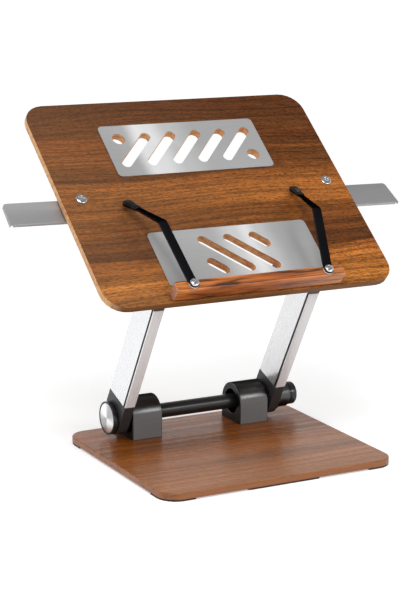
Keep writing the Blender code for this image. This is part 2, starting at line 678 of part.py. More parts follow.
def small_screw(name, length, parent, place, turn, through):
    """A low-headed wood screw and its hole in the pieces that it passes through."""
    shape = headed_screw(length, SMALL_HEAD, SMALL_HEAD_HEIGHT, SMALL_SHANK)
    put(turned(shape, SMALL_STEPS), name, "chrome", parent, place, turn)
    gap = headed_screw(length, SMALL_HEAD, SMALL_HEAD_HEIGHT, SMALL_SHANK, SEAT_GAP)
    tool = cutter(turned(gap, SMALL_STEPS), name + "_hole", parent, place, turn)
    for piece in through:
        cut(piece, tool)


def tray():
    """The tray board, slotted right through, and the two slotted steel plates on its face."""
    outline = rounded_rectangle(TRAY_WIDTH, TRAY_HEIGHT, TRAY_CORNER, (0, TRAY_HEIGHT / 2))
    board = put(slab([outline], TRAY_THICK), "tray_board", "walnut", TRAY_FACE,
                (0, 0, -TRAY_THICK))
    soften(board, BOARD_EDGE)
    wide = SLOT_WIDTH + 2 * SLOT_EASE
    deep = TRAY_THICK + 2 * CUT_OVER
    low = -TRAY_THICK - CUT_OVER
    for name, up, loops in (("upper", UPPER_PLATE_UP, upper_slots(wide, HOLE_RADIUS + SLOT_EASE)),
                            ("lower", LOWER_PLATE_UP, lower_slots(wide))):
        cut(board, cutter(slab(loops, deep), "slots_" + name, TRAY_FACE, (0, up, low)))
    edge = rounded_rectangle(PLATE_WIDTH, PLATE_HEIGHT, PLATE_CORNER)
    upper = slab([edge] + upper_slots(SLOT_WIDTH, HOLE_RADIUS), PLATE_THICK)
    lower = slab([edge] + lower_slots(SLOT_WIDTH), PLATE_THICK)
    for name, shape, up in (("upper_plate", upper, UPPER_PLATE_UP),
                            ("lower_plate", lower, LOWER_PLATE_UP)):
        put(shape, name, "brushed_steel", TRAY_FACE, (0, up, SEAT_GAP))
    return board


def ledge(board):
    """The bar that books stand on, held by two screws from behind the tray."""
    end, top = LEDGE_LENGTH / 2, LEDGE_LIFT + LEDGE_HEIGHT
    side, quarter = end - LEDGE_CORNER, math.pi / 2
    outline = [(-end, LEDGE_LIFT), (end, LEDGE_LIFT)]
    outline += arc((side, top - LEDGE_CORNER), LEDGE_CORNER, 0, quarter, CORNER_STEPS)
    outline += arc((-side, top - LEDGE_CORNER), LEDGE_CORNER, quarter, math.pi, CORNER_STEPS)
    bar = put(slab([outline], LEDGE_DEPTH), "ledge", "acacia", TRAY_FACE, (0, 0, SEAT_GAP))
    soften(bar, LEDGE_EDGE)
    length = TRAY_THICK + 2 * SEAT_GAP + LEDGE_SCREW_BITE
    for side, word in ((-1, "left"), (1, "right")):
        spot = (side * LEDGE_SCREW_SIDE, CLIP_UP, -TRAY_THICK - SEAT_GAP)
        small_screw("ledge_screw_" + word, length, TRAY_FACE, spot, FACE_DOWN, (board, bar))
    return bar


def strip_path():
    """Side view of a clip strip as (along, out) points: flat, rising, bent, falling to the tip."""
    rise = math.atan2(CLIP_RISE, CLIP_TO_BEND - CLIP_FLAT)
    tip_out = TIP_OUT - CLIP_SEAT - CLIP_THICK / 2
    fall = math.atan2(CLIP_RISE - tip_out, CLIP_TO_TIP)
    back = CLIP_BEND * math.tan((rise + fall) / 2)
    centre = (CLIP_TO_BEND - back * math.cos(rise) + CLIP_BEND * math.sin(rise),
              CLIP_RISE - back * math.sin(rise) - CLIP_BEND * math.cos(rise))
    turn = math.pi / 2
    bend = arc(centre, CLIP_BEND, turn + rise, turn - fall, CORNER_STEPS)
    heel = -CLIP_WIDTH / 2 - CUT_OVER
    return [(heel, 0), (CLIP_FLAT, 0)] + bend, (CLIP_TO_BEND + CLIP_TO_TIP, tip_out), fall


def thickened(path, thick):
    """A side-view path given a thickness: the same offset above and below each point."""
    above, below = [], []
    last = len(path) - 1
    for i, point in enumerate(path):
        before, after = Vector(path[max(i - 1, 0)]), Vector(path[min(i + 1, last)])
        normal = (after - before).normalized().orthogonal() * thick / 2
        if normal.y < 0:
            normal.negate()
        above.append((point[0] + normal.x, point[1] + normal.y))
        below.append((point[0] - normal.x, point[1] - normal.y))
    return above + below[::-1]


def page_clip(word, side, swing, bar):
    """A bent steel strip with a rubber boot, turning on a screw in the ledge's front face."""
    holder = frame_at("clip_frame_" + word, TRAY_FACE, (side * CLIP_SIDE, CLIP_UP, CLIP_SEAT),
                      (0, 0, swing))
    path, tip, fall = strip_path()
    short = BOOT_COVER
    stop = (tip[0] - short * math.cos(fall), tip[1] + short * math.sin(fall))
    spare = CLIP_WIDTH / 2 + CUT_OVER
    side_view = slab([thickened(path + [stop], CLIP_THICK)], 2 * spare)
    strip = put(side_view, "clip_strip_" + word, "black_strip", holder,
                (-spare, 0, CLIP_THICK / 2), ACROSS_X)
    deep = 2 * CLIP_RISE
    round_end = cutter(slab([clip_plan()], 2 * deep), "clip_plan_" + word, holder, (0, 0, -deep))
    keep = strip.modifiers.new("plan", "BOOLEAN")
    keep.operation = "INTERSECT"
    keep.object = round_end
    boot(word, holder, tip, fall, strip)
    clip_screw(word, holder, bar)


def clip_plan():
    """Front view of the strip: round about the screw, straight to the bend, then narrowing."""
    half, narrow = CLIP_WIDTH / 2, CLIP_TIP_WIDTH / 2
    tip = CLIP_TO_BEND + CLIP_TO_TIP
    heel = arc((0, 0), half, math.pi, 2 * math.pi, 2 * SLOT_STEPS)
    side = [(half, CLIP_TO_BEND), (narrow, tip), (narrow, tip + CUT_OVER)]
    return heel + side + [(-x, y) for x, y in reversed(side)]


def boot(word, holder, tip, fall, strip):
    """The rubber boot pushed over the strip's tip, hollowed to fit it."""
    widening = (CLIP_WIDTH - CLIP_TIP_WIDTH) / 2 * math.cos(fall) / CLIP_TO_TIP
    neck = CLIP_TIP_WIDTH / 2 + widening * BOOT_LENGTH + SEAT_GAP + BOOT_WALL
    head = BOOT_WIDTH / 2
    outline = arc((0, -head), head, 0, math.pi, 2 * SLOT_STEPS)
    outline += [(-neck, -BOOT_LENGTH), (neck, -BOOT_LENGTH)]
    place = (0, tip[0], tip[1] + CLIP_THICK / 2)
    sleeve = put(slab([outline], BOOT_THICK), "clip_boot_" + word, "rubber", holder)
    for vertex in sleeve.data.vertices:
        vertex.co.z -= BOOT_THICK / 2
    sleeve.location = place
    sleeve.rotation_euler = (-fall, 0, 0)
    soften(sleeve, BOOT_ROUND)
    low, high = BOOT_LENGTH + CUT_OVER, BOOT_COVER - SEAT_GAP
    wide, slim = [CLIP_TIP_WIDTH / 2 + widening * back + SEAT_GAP for back in (low, high)]
    mouth = [(-wide, -low), (wide, -low), (slim, -high), (-slim, -high)]
    shape = slab([mouth], CLIP_THICK + 2 * SEAT_GAP)
    for vertex in shape.vertices:
        vertex.co.z -= CLIP_THICK / 2 + SEAT_GAP
    cut(sleeve, cutter(shape, "clip_boot_mouth_" + word, holder, place, (-fall, 0, 0)))


def clip_screw(word, holder, bar):
    """The domed screw that the clip turns on, and the pale washer under the strip."""
    top = CLIP_THICK + SEAT_GAP
    length = top + CLIP_THICK + CLIP_WASHER_THICK + CLIP_SCREW_BITE
    shape = headed_screw(length, CLIP_SCREW_HEAD, CLIP_SCREW_HEIGHT, CLIP_SCREW_SHANK)
    put(turned(shape, HEAD_STEPS), "clip_screw_" + word, "chrome", holder, (0, 0, top))
    gap = headed_screw(length, CLIP_SCREW_HEAD, CLIP_SCREW_HEIGHT, CLIP_SCREW_SHANK, RUN_GAP)
    tool = cutter(turned(gap, SMALL_STEPS), "clip_hole_" + word, holder, (0, 0, top))
    cut(bar, tool)
    cut(bpy.data.objects["clip_strip_" + word], tool)
    inner = CLIP_SCREW_SHANK + RUN_GAP
    ring = [(CLIP_WASHER, CLIP_WASHER_THICK), (CLIP_WASHER, 0), (inner, 0),
            (inner, CLIP_WASHER_THICK)]
    put(turned_ring(ring, SMALL_STEPS), "clip_washer_" + word, "nylon", holder,
        (0, 0, -SEAT_GAP - CLIP_WASHER_THICK))


def rail_and_bars(board):
    """The folded rail on the tray's back, the two bars in it, and the bolts that hold it."""
    half = BAR_WIDTH / 2 + RUN_GAP
    outer = half + RAIL_SHEET
    deep = RAIL_SHEET + RUN_GAP + BAR_DEPTH + RUN_GAP
    back = deep + RAIL_SHEET
    lip = half - RAIL_LIP
    section = [(-outer, 0), (outer, 0), (outer, -back), (lip, -back), (lip, -deep), (half, -deep),
               (half, -RAIL_SHEET), (-half, -RAIL_SHEET), (-half, -deep), (-lip, -deep),
               (-lip, -back), (-outer, -back)]
    rail = put(slab([section], RAIL_LENGTH), "bar_rail", "bar_steel", RAIL_FRAME,
               (-RAIL_LENGTH / 2, 0, -SEAT_GAP), ACROSS_X)
    for side, word in ((-1, "left"), (1, "right")):
        slant = BAR_SLANT_LEFT if side < 0 else BAR_SLANT_RIGHT
        side_bar(word, side, -SEAT_GAP - RAIL_SHEET - RUN_GAP, slant)
        tray_bolt(word, side, board, rail)


def side_bar(word, side, face, slant):
    """A sheet bar with its long edges and outer end turned back, notched at the lower corner."""
    inner = BAR_REACH - BAR_LENGTH
    half = BAR_WIDTH / 2
    outline = bar_outline(inner, BAR_REACH, half, BAR_CORNER, slant)
    pan = bar_outline(inner - CUT_OVER, BAR_REACH - BAR_SHEET, half - BAR_SHEET,
                      BAR_CORNER - BAR_SHEET, slant)
    right = BAR_REACH + slant - BAR_SHEET
    left = right - BAR_NOTCH
    under, over = -half - CUT_OVER, CUT_OVER + BAR_SHEET - half
    notch = [(left, under), (right, under), (right, over), (left, over)]
    flip = [[(side * x, y) for x, y in loop] for loop in (outline, pan, notch)]
    bar = put(slab([flip[0]], BAR_DEPTH), "side_bar_" + word, "bar_steel", RAIL_FRAME,
              (0, 0, face - BAR_DEPTH))
    depth = BAR_DEPTH - BAR_SHEET
    place = (0, 0, face - BAR_DEPTH - CUT_OVER)
    cut(bar, cutter(slab([flip[1]], depth + CUT_OVER), "bar_pan_" + word, RAIL_FRAME, place))
    cut(bar, cutter(slab([flip[2]], depth + CUT_OVER), "bar_notch_" + word, RAIL_FRAME, place))


def bar_outline(inner, outer, half, radius, slant):
    """Front view of a bar, or of the hollow in its back, with a round upper outer corner."""
    corner = arc((outer - radius, half - radius), radius, 0, math.pi / 2, CORNER_STEPS)
    return [(inner, -half), (outer + slant, -half)] + corner + [(inner, half)]


def tray_bolt(word, side, board, rail):
    """A domed bolt through the tray, tapped into the rail and ending flush inside it."""
    length = TRAY_THICK + 2 * SEAT_GAP + RAIL_SHEET
    place = (side * TRAY_BOLT_SIDE, TRAY_BOLT_UP, SEAT_GAP)
    shape = headed_screw(length, TRAY_BOLT_HEAD, TRAY_BOLT_HEIGHT, TRAY_BOLT_SHANK)
    put(turned(shape, HEAD_STEPS), "tray_bolt_" + word, "chrome", TRAY_FACE, place)
    gap = headed_screw(length, TRAY_BOLT_HEAD, TRAY_BOLT_HEIGHT, TRAY_BOLT_SHANK, SEAT_GAP)
    tool = cutter(turned(gap, SMALL_STEPS), "tray_bolt_hole_" + word, TRAY_FACE, place)
    cut(board, tool)
    cut(rail, tool)


clear_scene()
STAND = new_collection("book_stand")
CUTTERS = new_collection("cutters")
BASE_FRAME = frame_at("base_frame", None, (0, STAND_SHIFT, 0))
ARM_FRAME = frame_at("arm_frame", BASE_FRAME, (0, HINGE_BACK, AXIS_HEIGHT), (ARM_TURN, 0, 0))
TRAY_PIVOT = frame_at("tray_pivot", ARM_FRAME, (0, 0, ARM_LENGTH), (TRAY_TILT - ARM_TURN, 0, 0))
TRAY_FACE = frame_at("tray_face", TRAY_PIVOT, (0, -UPPER_UP, UPPER_BEHIND))
RAIL_FRAME = frame_at("rail_frame", TRAY_FACE, (0, RAIL_UP, -TRAY_THICK), (0, 0, RAIL_TURN))

base = base_board()
pads()
hinge_blocks(base)
shaft_and_washers()
arms()
pivot_cap()
clamp_knob()
tray_wood = tray()
upper_hinge(tray_wood)
ledge_bar = ledge(tray_wood)
page_clip("left", -1, CLIP_SWING_LEFT, ledge_bar)
page_clip("right", 1, CLIP_SWING_RIGHT, ledge_bar)
rail_and_bars(tray_wood)
bpy.context.view_layer.update()
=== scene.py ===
# %% [markdown]
# # Dressing a folding book stand
#
# The solids of this stand are already made and loaded as a fixed frame: a wooden tray on two
# hollow arms, turning on shafts over a wooden base.  This lesson gives each of them a finer
# surface and a real finish.  Nothing in the frame moves.  Where a solid is coarse, a smoother
# piece worked out with numpy takes its place and rides on the same body.
#
# Units are metres.  +X is to the reader's right, +Y away from the reader, +Z up.

# %% Load the frame
import json
import math

import bmesh
import bpy
import numpy as np
from mathutils import Matrix


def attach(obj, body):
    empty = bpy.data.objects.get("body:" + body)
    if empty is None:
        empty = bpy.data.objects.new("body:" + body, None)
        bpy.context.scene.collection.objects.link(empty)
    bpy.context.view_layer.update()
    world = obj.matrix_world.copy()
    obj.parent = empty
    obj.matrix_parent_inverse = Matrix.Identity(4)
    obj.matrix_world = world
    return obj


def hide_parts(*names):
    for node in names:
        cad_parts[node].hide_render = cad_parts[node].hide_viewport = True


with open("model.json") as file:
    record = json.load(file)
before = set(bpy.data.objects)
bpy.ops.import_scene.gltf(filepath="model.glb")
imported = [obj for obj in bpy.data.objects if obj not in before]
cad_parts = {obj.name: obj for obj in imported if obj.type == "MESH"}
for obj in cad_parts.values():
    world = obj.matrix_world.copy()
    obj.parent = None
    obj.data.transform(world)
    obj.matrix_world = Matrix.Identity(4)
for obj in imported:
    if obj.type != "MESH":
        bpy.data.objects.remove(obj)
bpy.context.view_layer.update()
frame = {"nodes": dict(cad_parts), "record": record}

# %% [markdown]
# ## Where things are
#
# Most of the stand lies on tilted planes, so three small frames of reference save a lot of
# trigonometry: the base, the arms and the tray.  Each one is an origin and three unit axes.
# A shape is written in its own flat frame, then carried into place by one matrix product.

# %% Frames of reference
MM = 0.001
SHIFT = -27.76 * MM                  # brings the middle of the stand to Y = 0
TRAY_TILT = math.radians(38.9)
ARM_LEAN = math.radians(61.9)
ARM_LENGTH = 212 * MM                # from the lower axis to the upper one
HINGE_BACK, HINGE_HEIGHT = 94 * MM, 36 * MM
TRAY_BELOW, TRAY_OUT = 49.9 * MM, 34.5 * MM   # the tray's lower edge from the upper axis
LOWER_AXIS = np.array([0, HINGE_BACK + SHIFT, HINGE_HEIGHT])


def turn_x(angle):
    """Rows are the local axes of a frame turned about X: (1,0,0), (0,cos,sin), (0,-sin,cos)."""
    c, s = math.cos(angle), math.sin(angle)
    return np.array([[1, 0, 0], [0, c, s], [0, -s, c]])


def turn_z(angle):
    """Rows are the local axes of a frame turned about Z: (cos,sin,0), (-sin,cos,0), (0,0,1)."""
    c, s = math.cos(angle), math.sin(angle)
    return np.array([[c, s, 0], [-s, c, 0], [0, 0, 1]])


LEAN_BACK = math.pi / 2 - ARM_LEAN     # how far the arms lean back from upright
ARM_AXES = turn_x(LEAN_BACK)
TRAY_AXES = turn_x(TRAY_TILT)
UPPER_AXIS = LOWER_AXIS + ARM_LENGTH * ARM_AXES[2]
TRAY_ORIGIN = UPPER_AXIS + np.array([0, -TRAY_BELOW, TRAY_OUT]) @ TRAY_AXES
print("upper axis", UPPER_AXIS.round(4), "tray's lower edge", TRAY_ORIGIN.round(4))

# %% [markdown]
# ## Turning arrays into surfaces
#
# Every new piece is a grid of points: rings one after another, each ring a closed loop with the
# same number of points.  The rings are joined with quads, and the two open ends are closed with
# one flat face each, or the last ring is joined to the first where the piece is hollow.  The
# sign of the enclosed volume tells which way the faces point, so they can be turned outwards.

# %% Grid of rings to mesh
def ring_mesh(name, rings, hollow=False, sharp=40):
    """Joins rings[k][j] to its neighbours: quads (k,j) (k,j+1) (k+1,j+1) (k+1,j)."""
    rings = np.asarray(rings, float)
    rows, cols = rings.shape[:2]
    index = np.arange(rows * cols).reshape(rows, cols)
    ahead = np.roll(index, -1, axis=1)
    if hollow:
        lower, upper = index, np.roll(index, -1, axis=0)
        lower_ahead, upper_ahead = ahead, np.roll(ahead, -1, axis=0)
    else:
        lower, upper = index[:-1], index[1:]
        lower_ahead, upper_ahead = ahead[:-1], ahead[1:]
    quads = np.stack([lower, lower_ahead, upper_ahead, upper], axis=-1).reshape(-1, 4)
    points = rings.reshape(-1, 3)
    faces = quads.tolist()
    if not hollow:
        faces += [index[0][::-1].tolist(), index[-1].tolist()]
    a, b, c = points[quads[:, 0]], points[quads[:, 1]], points[quads[:, 2]]
    d = points[quads[:, 3]]
    middle = points.mean(axis=0)
    volume = np.einsum("ij,ij->i", a - middle, np.cross(b - middle, c - middle)).sum()
    volume += np.einsum("ij,ij->i", a - middle, np.cross(c - middle, d - middle)).sum()
    if volume < 0:
        faces = [face[::-1] for face in faces]
    mesh = bpy.data.meshes.new(name)
    mesh.from_pydata(points.tolist(), [], faces)
    mesh.shade_smooth()
    mesh.set_sharp_from_angle(angle=math.radians(sharp))
    piece = bpy.data.objects.new(name, mesh)
    bpy.context.scene.collection.objects.link(piece)
    return piece


# %% Putting a piece on its body
BODY_OF = {node: body for body, nodes in frame["record"]["behaviour"]["bodies"].items()
           for node in nodes}
MADE = []


def seat(piece, node, look, *others):
    """Gives a piece its finish and lets it stand for the solid of that name."""
    piece.data.materials.clear()
    piece.data.materials.append(look)
    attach(piece, BODY_OF[node])
    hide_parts(node, *others)
    MADE.append(piece)
    return piece


print(len(BODY_OF), "solids have a body and a slot")

# %% [markdown]
# ## Outlines and profiles
#
# A board's outline is a rectangle with round corners, and stepping it inwards by the same
# amount everywhere keeps its corners round.  A turned piece is a profile of (along, radius)
# pairs.  Sharp corners look false on metal and plastic, so both are softened by short arcs.

# %% Rounded outlines
def rounded_loop(width, height, radius, inset=0.0, steps=10):
    """Corner centres plus (radius - inset) times (cos, sin), a quarter turn at each corner.

    The radius is one value, or four: upper right, upper left, lower left and lower right.
    """
    quarter = np.linspace(0, math.pi / 2, steps)
    angle = np.concatenate([quarter + k * math.pi / 2 for k in range(4)])
    side = np.repeat([1, -1, -1, 1], steps)
    up = np.repeat([1, 1, -1, -1], steps)
    radius = np.repeat(np.broadcast_to(radius, 4), steps)
    x = side * (width / 2 - radius) + (radius - inset) * np.cos(angle)
    y = up * (height / 2 - radius) + (radius - inset) * np.sin(angle)
    return np.stack([x, y], axis=1)


def softened(corners, radius, steps=5, closed=False, most_share=0.45):
    """Each corner C becomes (1-t)^2 A + 2t(1-t) C + t^2 B, with A and B a radius away from it.

    A short side gives less: A and B stay within a share of the side that they lie on.
    """
    corners = np.asarray(corners, float)
    before, after = np.roll(corners, 1, axis=0), np.roll(corners, -1, axis=0)
    back, on = before - corners, after - corners
    back_length = np.linalg.norm(back, axis=1, keepdims=True)
    on_length = np.linalg.norm(on, axis=1, keepdims=True)
    reach = np.minimum(np.broadcast_to(radius, back_length.shape), most_share * back_length)
    reach = np.minimum(reach, most_share * on_length)
    start = corners + back / back_length * reach
    end = corners + on / on_length * reach
    t = np.linspace(0, 1, steps)[None, :, None]
    curve = (1 - t) ** 2 * start[:, None] + 2 * t * (1 - t) * corners[:, None]
    curve = curve + t ** 2 * end[:, None]
    if closed:
        return curve.reshape(-1, 2)
    return np.concatenate([corners[:1], curve[1:-1].reshape(-1, 2), corners[-1:]])


# %% Turned pieces
def turned(name, centre, side, profile, hollow=False, steps=96):
    """Ring k: centre + side * along[k] on X, and radius[k] times (cos, sin) on Y and Z."""
    angle = np.arange(steps) * 2 * math.pi / steps
    along = profile[:, 0][:, None] + 0 * angle
    rings = np.stack([centre[0] + side * along,
                      centre[1] + profile[:, 1][:, None] * np.cos(angle),
                      centre[2] + profile[:, 1][:, None] * np.sin(angle)], axis=-1)
    return ring_mesh(name, rings, hollow)


print("outline test:", len(rounded_loop(200 * MM, 100 * MM, 10 * MM)), "points")

# %% [markdown]
# ## A refined copy
#
# Folded sheet and slotted boards already have their true shape in the frame, but their facets
# are bare.  A copy is merged, its flat faces are joined again, its edges are broken by a fine
# bevel, and weighted normals keep the large faces flat while the rounded ones shade smoothly.

# %% Refined copies
WELD = 0.01 * MM                     # points closer than this are one point
SAME_PLANE = math.radians(0.5)       # faces that turn less than this are one face
SHARP_FROM = math.radians(50)
FINE_EDGE, BOARD_EDGE, SOFT_EDGE = 0.3 * MM, 0.25 * MM, 0.8 * MM


def refined(node, bevel=FINE_EDGE, limit=55):
    """A merged copy of a solid; edges that turn more than the limit get a bevel."""
    source = frame["nodes"][node]
    mesh = source.data.copy()
    mesh.materials.clear()
    work = bmesh.new()
    work.from_mesh(mesh)
    bmesh.ops.remove_doubles(work, verts=work.verts, dist=WELD)
    bmesh.ops.dissolve_limit(work, angle_limit=SAME_PLANE, verts=work.verts, edges=work.edges)
    work.to_mesh(mesh)
    work.free()
    mesh.shade_smooth()
    mesh.set_sharp_from_angle(angle=SHARP_FROM)
    piece = bpy.data.objects.new(node + "_fine", mesh)
    bpy.context.scene.collection.objects.link(piece)
    edges = piece.modifiers.new("edges", "BEVEL")
    edges.width = bevel
    edges.segments = 2
    edges.limit_method = "ANGLE"
    edges.angle_limit = math.radians(limit)
    weights = piece.modifiers.new("weights", "WEIGHTED_NORMAL")
    weights.keep_sharp = True
    return piece


print("refined copies can be made of any of", len(frame["nodes"]), "solids")

# %% [markdown]
# ## Finishes
#
# Node trees are easier to read when the code says only what is joined to what.  Two helpers do
# that: one adds a node and sets its sockets, the other writes a colour the way a paint chart
# does, from 0 to 255, and turns it into the linear values that the renderer works with.

# %% Node helpers
def paint(red, green, blue):
    """Display colour c becomes ((c/255 + 0.055) / 1.055) ^ 2.4, or c/255/12.92 when dark."""
    c = np.array([red, green, blue]) / 255
    linear = np.where(c <= 0.04045, c / 12.92, ((c + 0.055) / 1.055) ** 2.4)
    return (*linear.tolist(), 1)


def begin(name):
    """An empty material with its shader."""
    look = bpy.data.materials.new(name)
    look.use_nodes = True
    return look, look.node_tree, look.node_tree.nodes["Principled BSDF"]


def add(tree, kind, settings=None, **inputs):
    """Adds a node; an input is a value or another node's socket."""
    node = tree.nodes.new(kind)
    for key, value in (settings or {}).items():
        setattr(node, key, value)
    for key, value in inputs.items():
        socket = node.inputs[int(key[1:]) if key[1:].isdigit() else key.replace("_", " ")]
        if isinstance(value, bpy.types.NodeSocket):
            tree.links.new(value, socket)
        else:
            socket.default_value = value
    return node


def ramp(tree, factor, stops, smooth="EASE"):
    """A colour ramp with (position, colour) stops."""
    node = add(tree, "ShaderNodeValToRGB", n0=factor)
    node.color_ramp.interpolation = smooth
    elements = node.color_ramp.elements
    while len(elements) < len(stops):
        elements.new(0.5)
    for element, (position, colour) in zip(elements, stops):
        element.position = position
        element.color = colour if len(colour) == 4 else (*colour, 1)
    return node.outputs["Color"]


def grey(value):
    """A neutral stop for a ramp."""
    return (value, value, value, 1)


def mixed(tree, way, factor, first, second):
    """Two colours blended in a given way."""
    node = add(tree, "ShaderNodeMix", {"data_type": "RGBA", "blend_type": way}, n0=factor,
               n6=first, n7=second)
    return node.outputs[2]


def bump(tree, shader, height, strength, distance):
    """Height as a bump on the shader's normal."""
    node = add(tree, "ShaderNodeBump", n0=strength, n1=distance, Height=height)
    tree.links.new(node.outputs["Normal"], shader.inputs["Normal"])


# %% [markdown]
# ### Walnut veneer
#
# The tray and the base are faced with dark veneer, its grain laid from left to right.  The
# tray's face is joined from three strips of veneer, and the joints show as straight lines where
# the tone jumps.  Within a strip four scales make it read as wood: slow figure where the log
# was light or dark, the wavering lines of its growth, fine fibres, and short dark pores.  Noise
# stretched hard along X gives all four, and each strip takes its noise from a different place.
# The tray's left end is greyed towards a paler tone: a painted sheen, the reflection that lies
# there.  On the edges a plainer core shows, pale on the two sides and in the slots, and painted
# darker along the lower edge towards the reader, a painted shade there.  The object's own normal
# picks it out, so it stays in place when the tray is turned.

# %% Walnut
JOINTS = (66.6 * MM, 262 * MM)       # heights of the joints between the tray's strips
BLUR = 0.2 * MM                      # half the width of a joint's line
STRIP_APART = (7.3, 3.1, 1.7)        # how far apart two strips take their noise
SWAY_SCALE, SWAY = (4, 11, 11), 30 * MM
# Along the grain, across it, detail and roughness of each noise
FIGURE, LINES = (1.6, 30, 1, 0.55), (0.9, 190, 2, 0.70)
FIBRES, PORES = (40, 800, 1, 0.60), (190, 900, 1, 0.40)
SHEEN_GREY, SHEEN_FROM, SHEEN_TO = paint(166, 128, 98), -190 * MM, 120 * MM


def walnut(name, turn, place, strips, core_and_shade, gloss, sheen, pale, bold):
    """Veneer on the XY plane of a frame; strips are (height, tone) stops along its Y.

    The edges show plainer wood: its own paler tone towards the two sides, and a darker tone along
    the lower edge towards the reader, which is painted shade.
    Gloss is the least roughness, sheen the strength of the reflection, pale says how far a
    painted sheen greys the left end, and bold how strongly the grain shows.
    """
    look, tree, shader = begin(name)
    coordinates = add(tree, "ShaderNodeTexCoord")
    flat = add(tree, "ShaderNodeMapping", n0=coordinates.outputs["Object"],
               Rotation=(-turn, 0, 0), Location=(0, -place, 0)).outputs[0]
    spot = add(tree, "ShaderNodeSeparateXYZ", n0=flat)
    tone = ramp(tree, spot.outputs[1], strips, "LINEAR")
    strip = add(tree, "ShaderNodeSeparateColor", n0=ramp(
        tree, spot.outputs[1], [(0, grey(0.1)), (JOINTS[0], grey(0.5)), (JOINTS[1], grey(0.9))],
        "CONSTANT")).outputs[0]
    apart = add(tree, "ShaderNodeVectorMath", {"operation": "SCALE"}, n0=STRIP_APART,
                Scale=strip)
    own = add(tree, "ShaderNodeVectorMath", {"operation": "ADD"}, n0=flat,
              n1=apart.outputs[0]).outputs[0]
    sway = add(tree, "ShaderNodeTexNoise", Vector=add(
        tree, "ShaderNodeMapping", n0=own, Scale=SWAY_SCALE).outputs[0], Scale=1, Detail=0)
    bent = add(tree, "ShaderNodeVectorMath", {"operation": "MULTIPLY_ADD"}, n0=sway.outputs[1],
               n1=(0, SWAY, 0), n2=own).outputs[0]

    def streaks(along, across, detail, rough):
        stretched = add(tree, "ShaderNodeMapping", n0=bent, Scale=(along, across, across))
        return add(tree, "ShaderNodeTexNoise", Vector=stretched.outputs[0], Scale=1.0,
                   Detail=detail, Roughness=rough).outputs[0]

    figure = ramp(tree, streaks(*FIGURE), [(0.36, grey(0.26)), (0.50, grey(0.50)),
                                           (0.64, grey(0.64))])
    lines = ramp(tree, streaks(*LINES), [(0.38, grey(0.12)), (0.50, grey(0.52)),
                                         (0.62, grey(0.72))])
    fibres = ramp(tree, streaks(*FIBRES), [(0.36, grey(0.16)), (0.64, grey(0.84))])
    pores = ramp(tree, streaks(*PORES), [(0.50, grey(1.0)), (0.62, grey(0.05))])
    tone = mixed(tree, "OVERLAY", 1.20 * bold, tone, figure)
    tone = mixed(tree, "OVERLAY", 0.70 * bold, tone, lines)
    tone = mixed(tree, "OVERLAY", 0.45 * bold, tone, fibres)
    tone = mixed(tree, "MULTIPLY", 0.80 * bold, tone, pores)
    # painted sheen: the left end is greyed towards a pale tone, strongest at the far left
    sheen_mask = add(tree, "ShaderNodeMapRange", n0=spot.outputs[0], n1=SHEEN_FROM, n2=SHEEN_TO,
               n3=pale, n4=0).outputs[0]
    tone = mixed(tree, "MIX", sheen_mask, tone, SHEEN_GREY)
    facing = add(tree, "ShaderNodeSeparateXYZ", n0=add(
        tree, "ShaderNodeMapping", n0=coordinates.outputs["Normal"],
        Rotation=(-turn, 0, 0)).outputs[0])
    flatness = add(tree, "ShaderNodeMath", {"operation": "ABSOLUTE"},
                   n0=facing.outputs[2]).outputs[0]
    edge = ramp(tree, flatness, [(0.35, grey(1)), (0.75, grey(0))])
    aside = add(tree, "ShaderNodeMath", {"operation": "ABSOLUTE"},
                n0=facing.outputs[0]).outputs[0]
    # painted shade: edge faces near the lower edge that don't look aside take the darker first
    # tone
    inward = ramp(tree, spot.outputs[1], [(10 * MM, grey(0)), (30 * MM, grey(1))])
    paler = mixed(tree, "LIGHTEN", 1.0, ramp(tree, aside, [(0.3, grey(0)), (0.9, grey(1))]),
                  inward)
    core_and_shade = mixed(tree, "MIX", paler, *core_and_shade)
    tone = mixed(tree, "MIX", edge, tone, mixed(tree, "OVERLAY", 0.45, core_and_shade, lines))
    tree.links.new(tone, shader.inputs["Base Color"])
    tree.links.new(ramp(tree, lines, [(0.3, grey(gloss + 0.10)), (0.7, grey(gloss))]),
                   shader.inputs["Roughness"])
    shader.inputs["Specular IOR Level"].default_value = sheen
    bump(tree, shader, mixed(tree, "MULTIPLY", 1.0, pores, fibres), 0.22, 0.4 * MM)
    return look


BASE_WIDE, BASE_DEEP, BASE_CORNER = 322 * MM, 273 * MM, 25 * MM
TRAY_BANDS = [(0, paint(166, 102, 42)), (35 * MM, paint(172, 104, 42)),
              (JOINTS[0] - BLUR, paint(158, 90, 36)), (JOINTS[0] + BLUR, paint(94, 52, 21)),
              (100 * MM, paint(104, 58, 22)), (125 * MM, paint(152, 88, 34)),
              (156 * MM, paint(174, 104, 43)), (185 * MM, paint(138, 80, 32)),
              (225 * MM, paint(128, 73, 28)), (240 * MM, paint(116, 64, 24)),
              (JOINTS[1] - BLUR, paint(138, 75, 28)), (JOINTS[1] + BLUR, paint(98, 55, 21)),
              (324.5 * MM, paint(90, 48, 18))]
BASE_BANDS = [(0, paint(160, 96, 36)), (70 * MM, paint(148, 86, 30)),
              (150 * MM, paint(142, 80, 26)), (220 * MM, paint(150, 80, 22)),
              (BASE_DEEP, paint(148, 82, 28))]
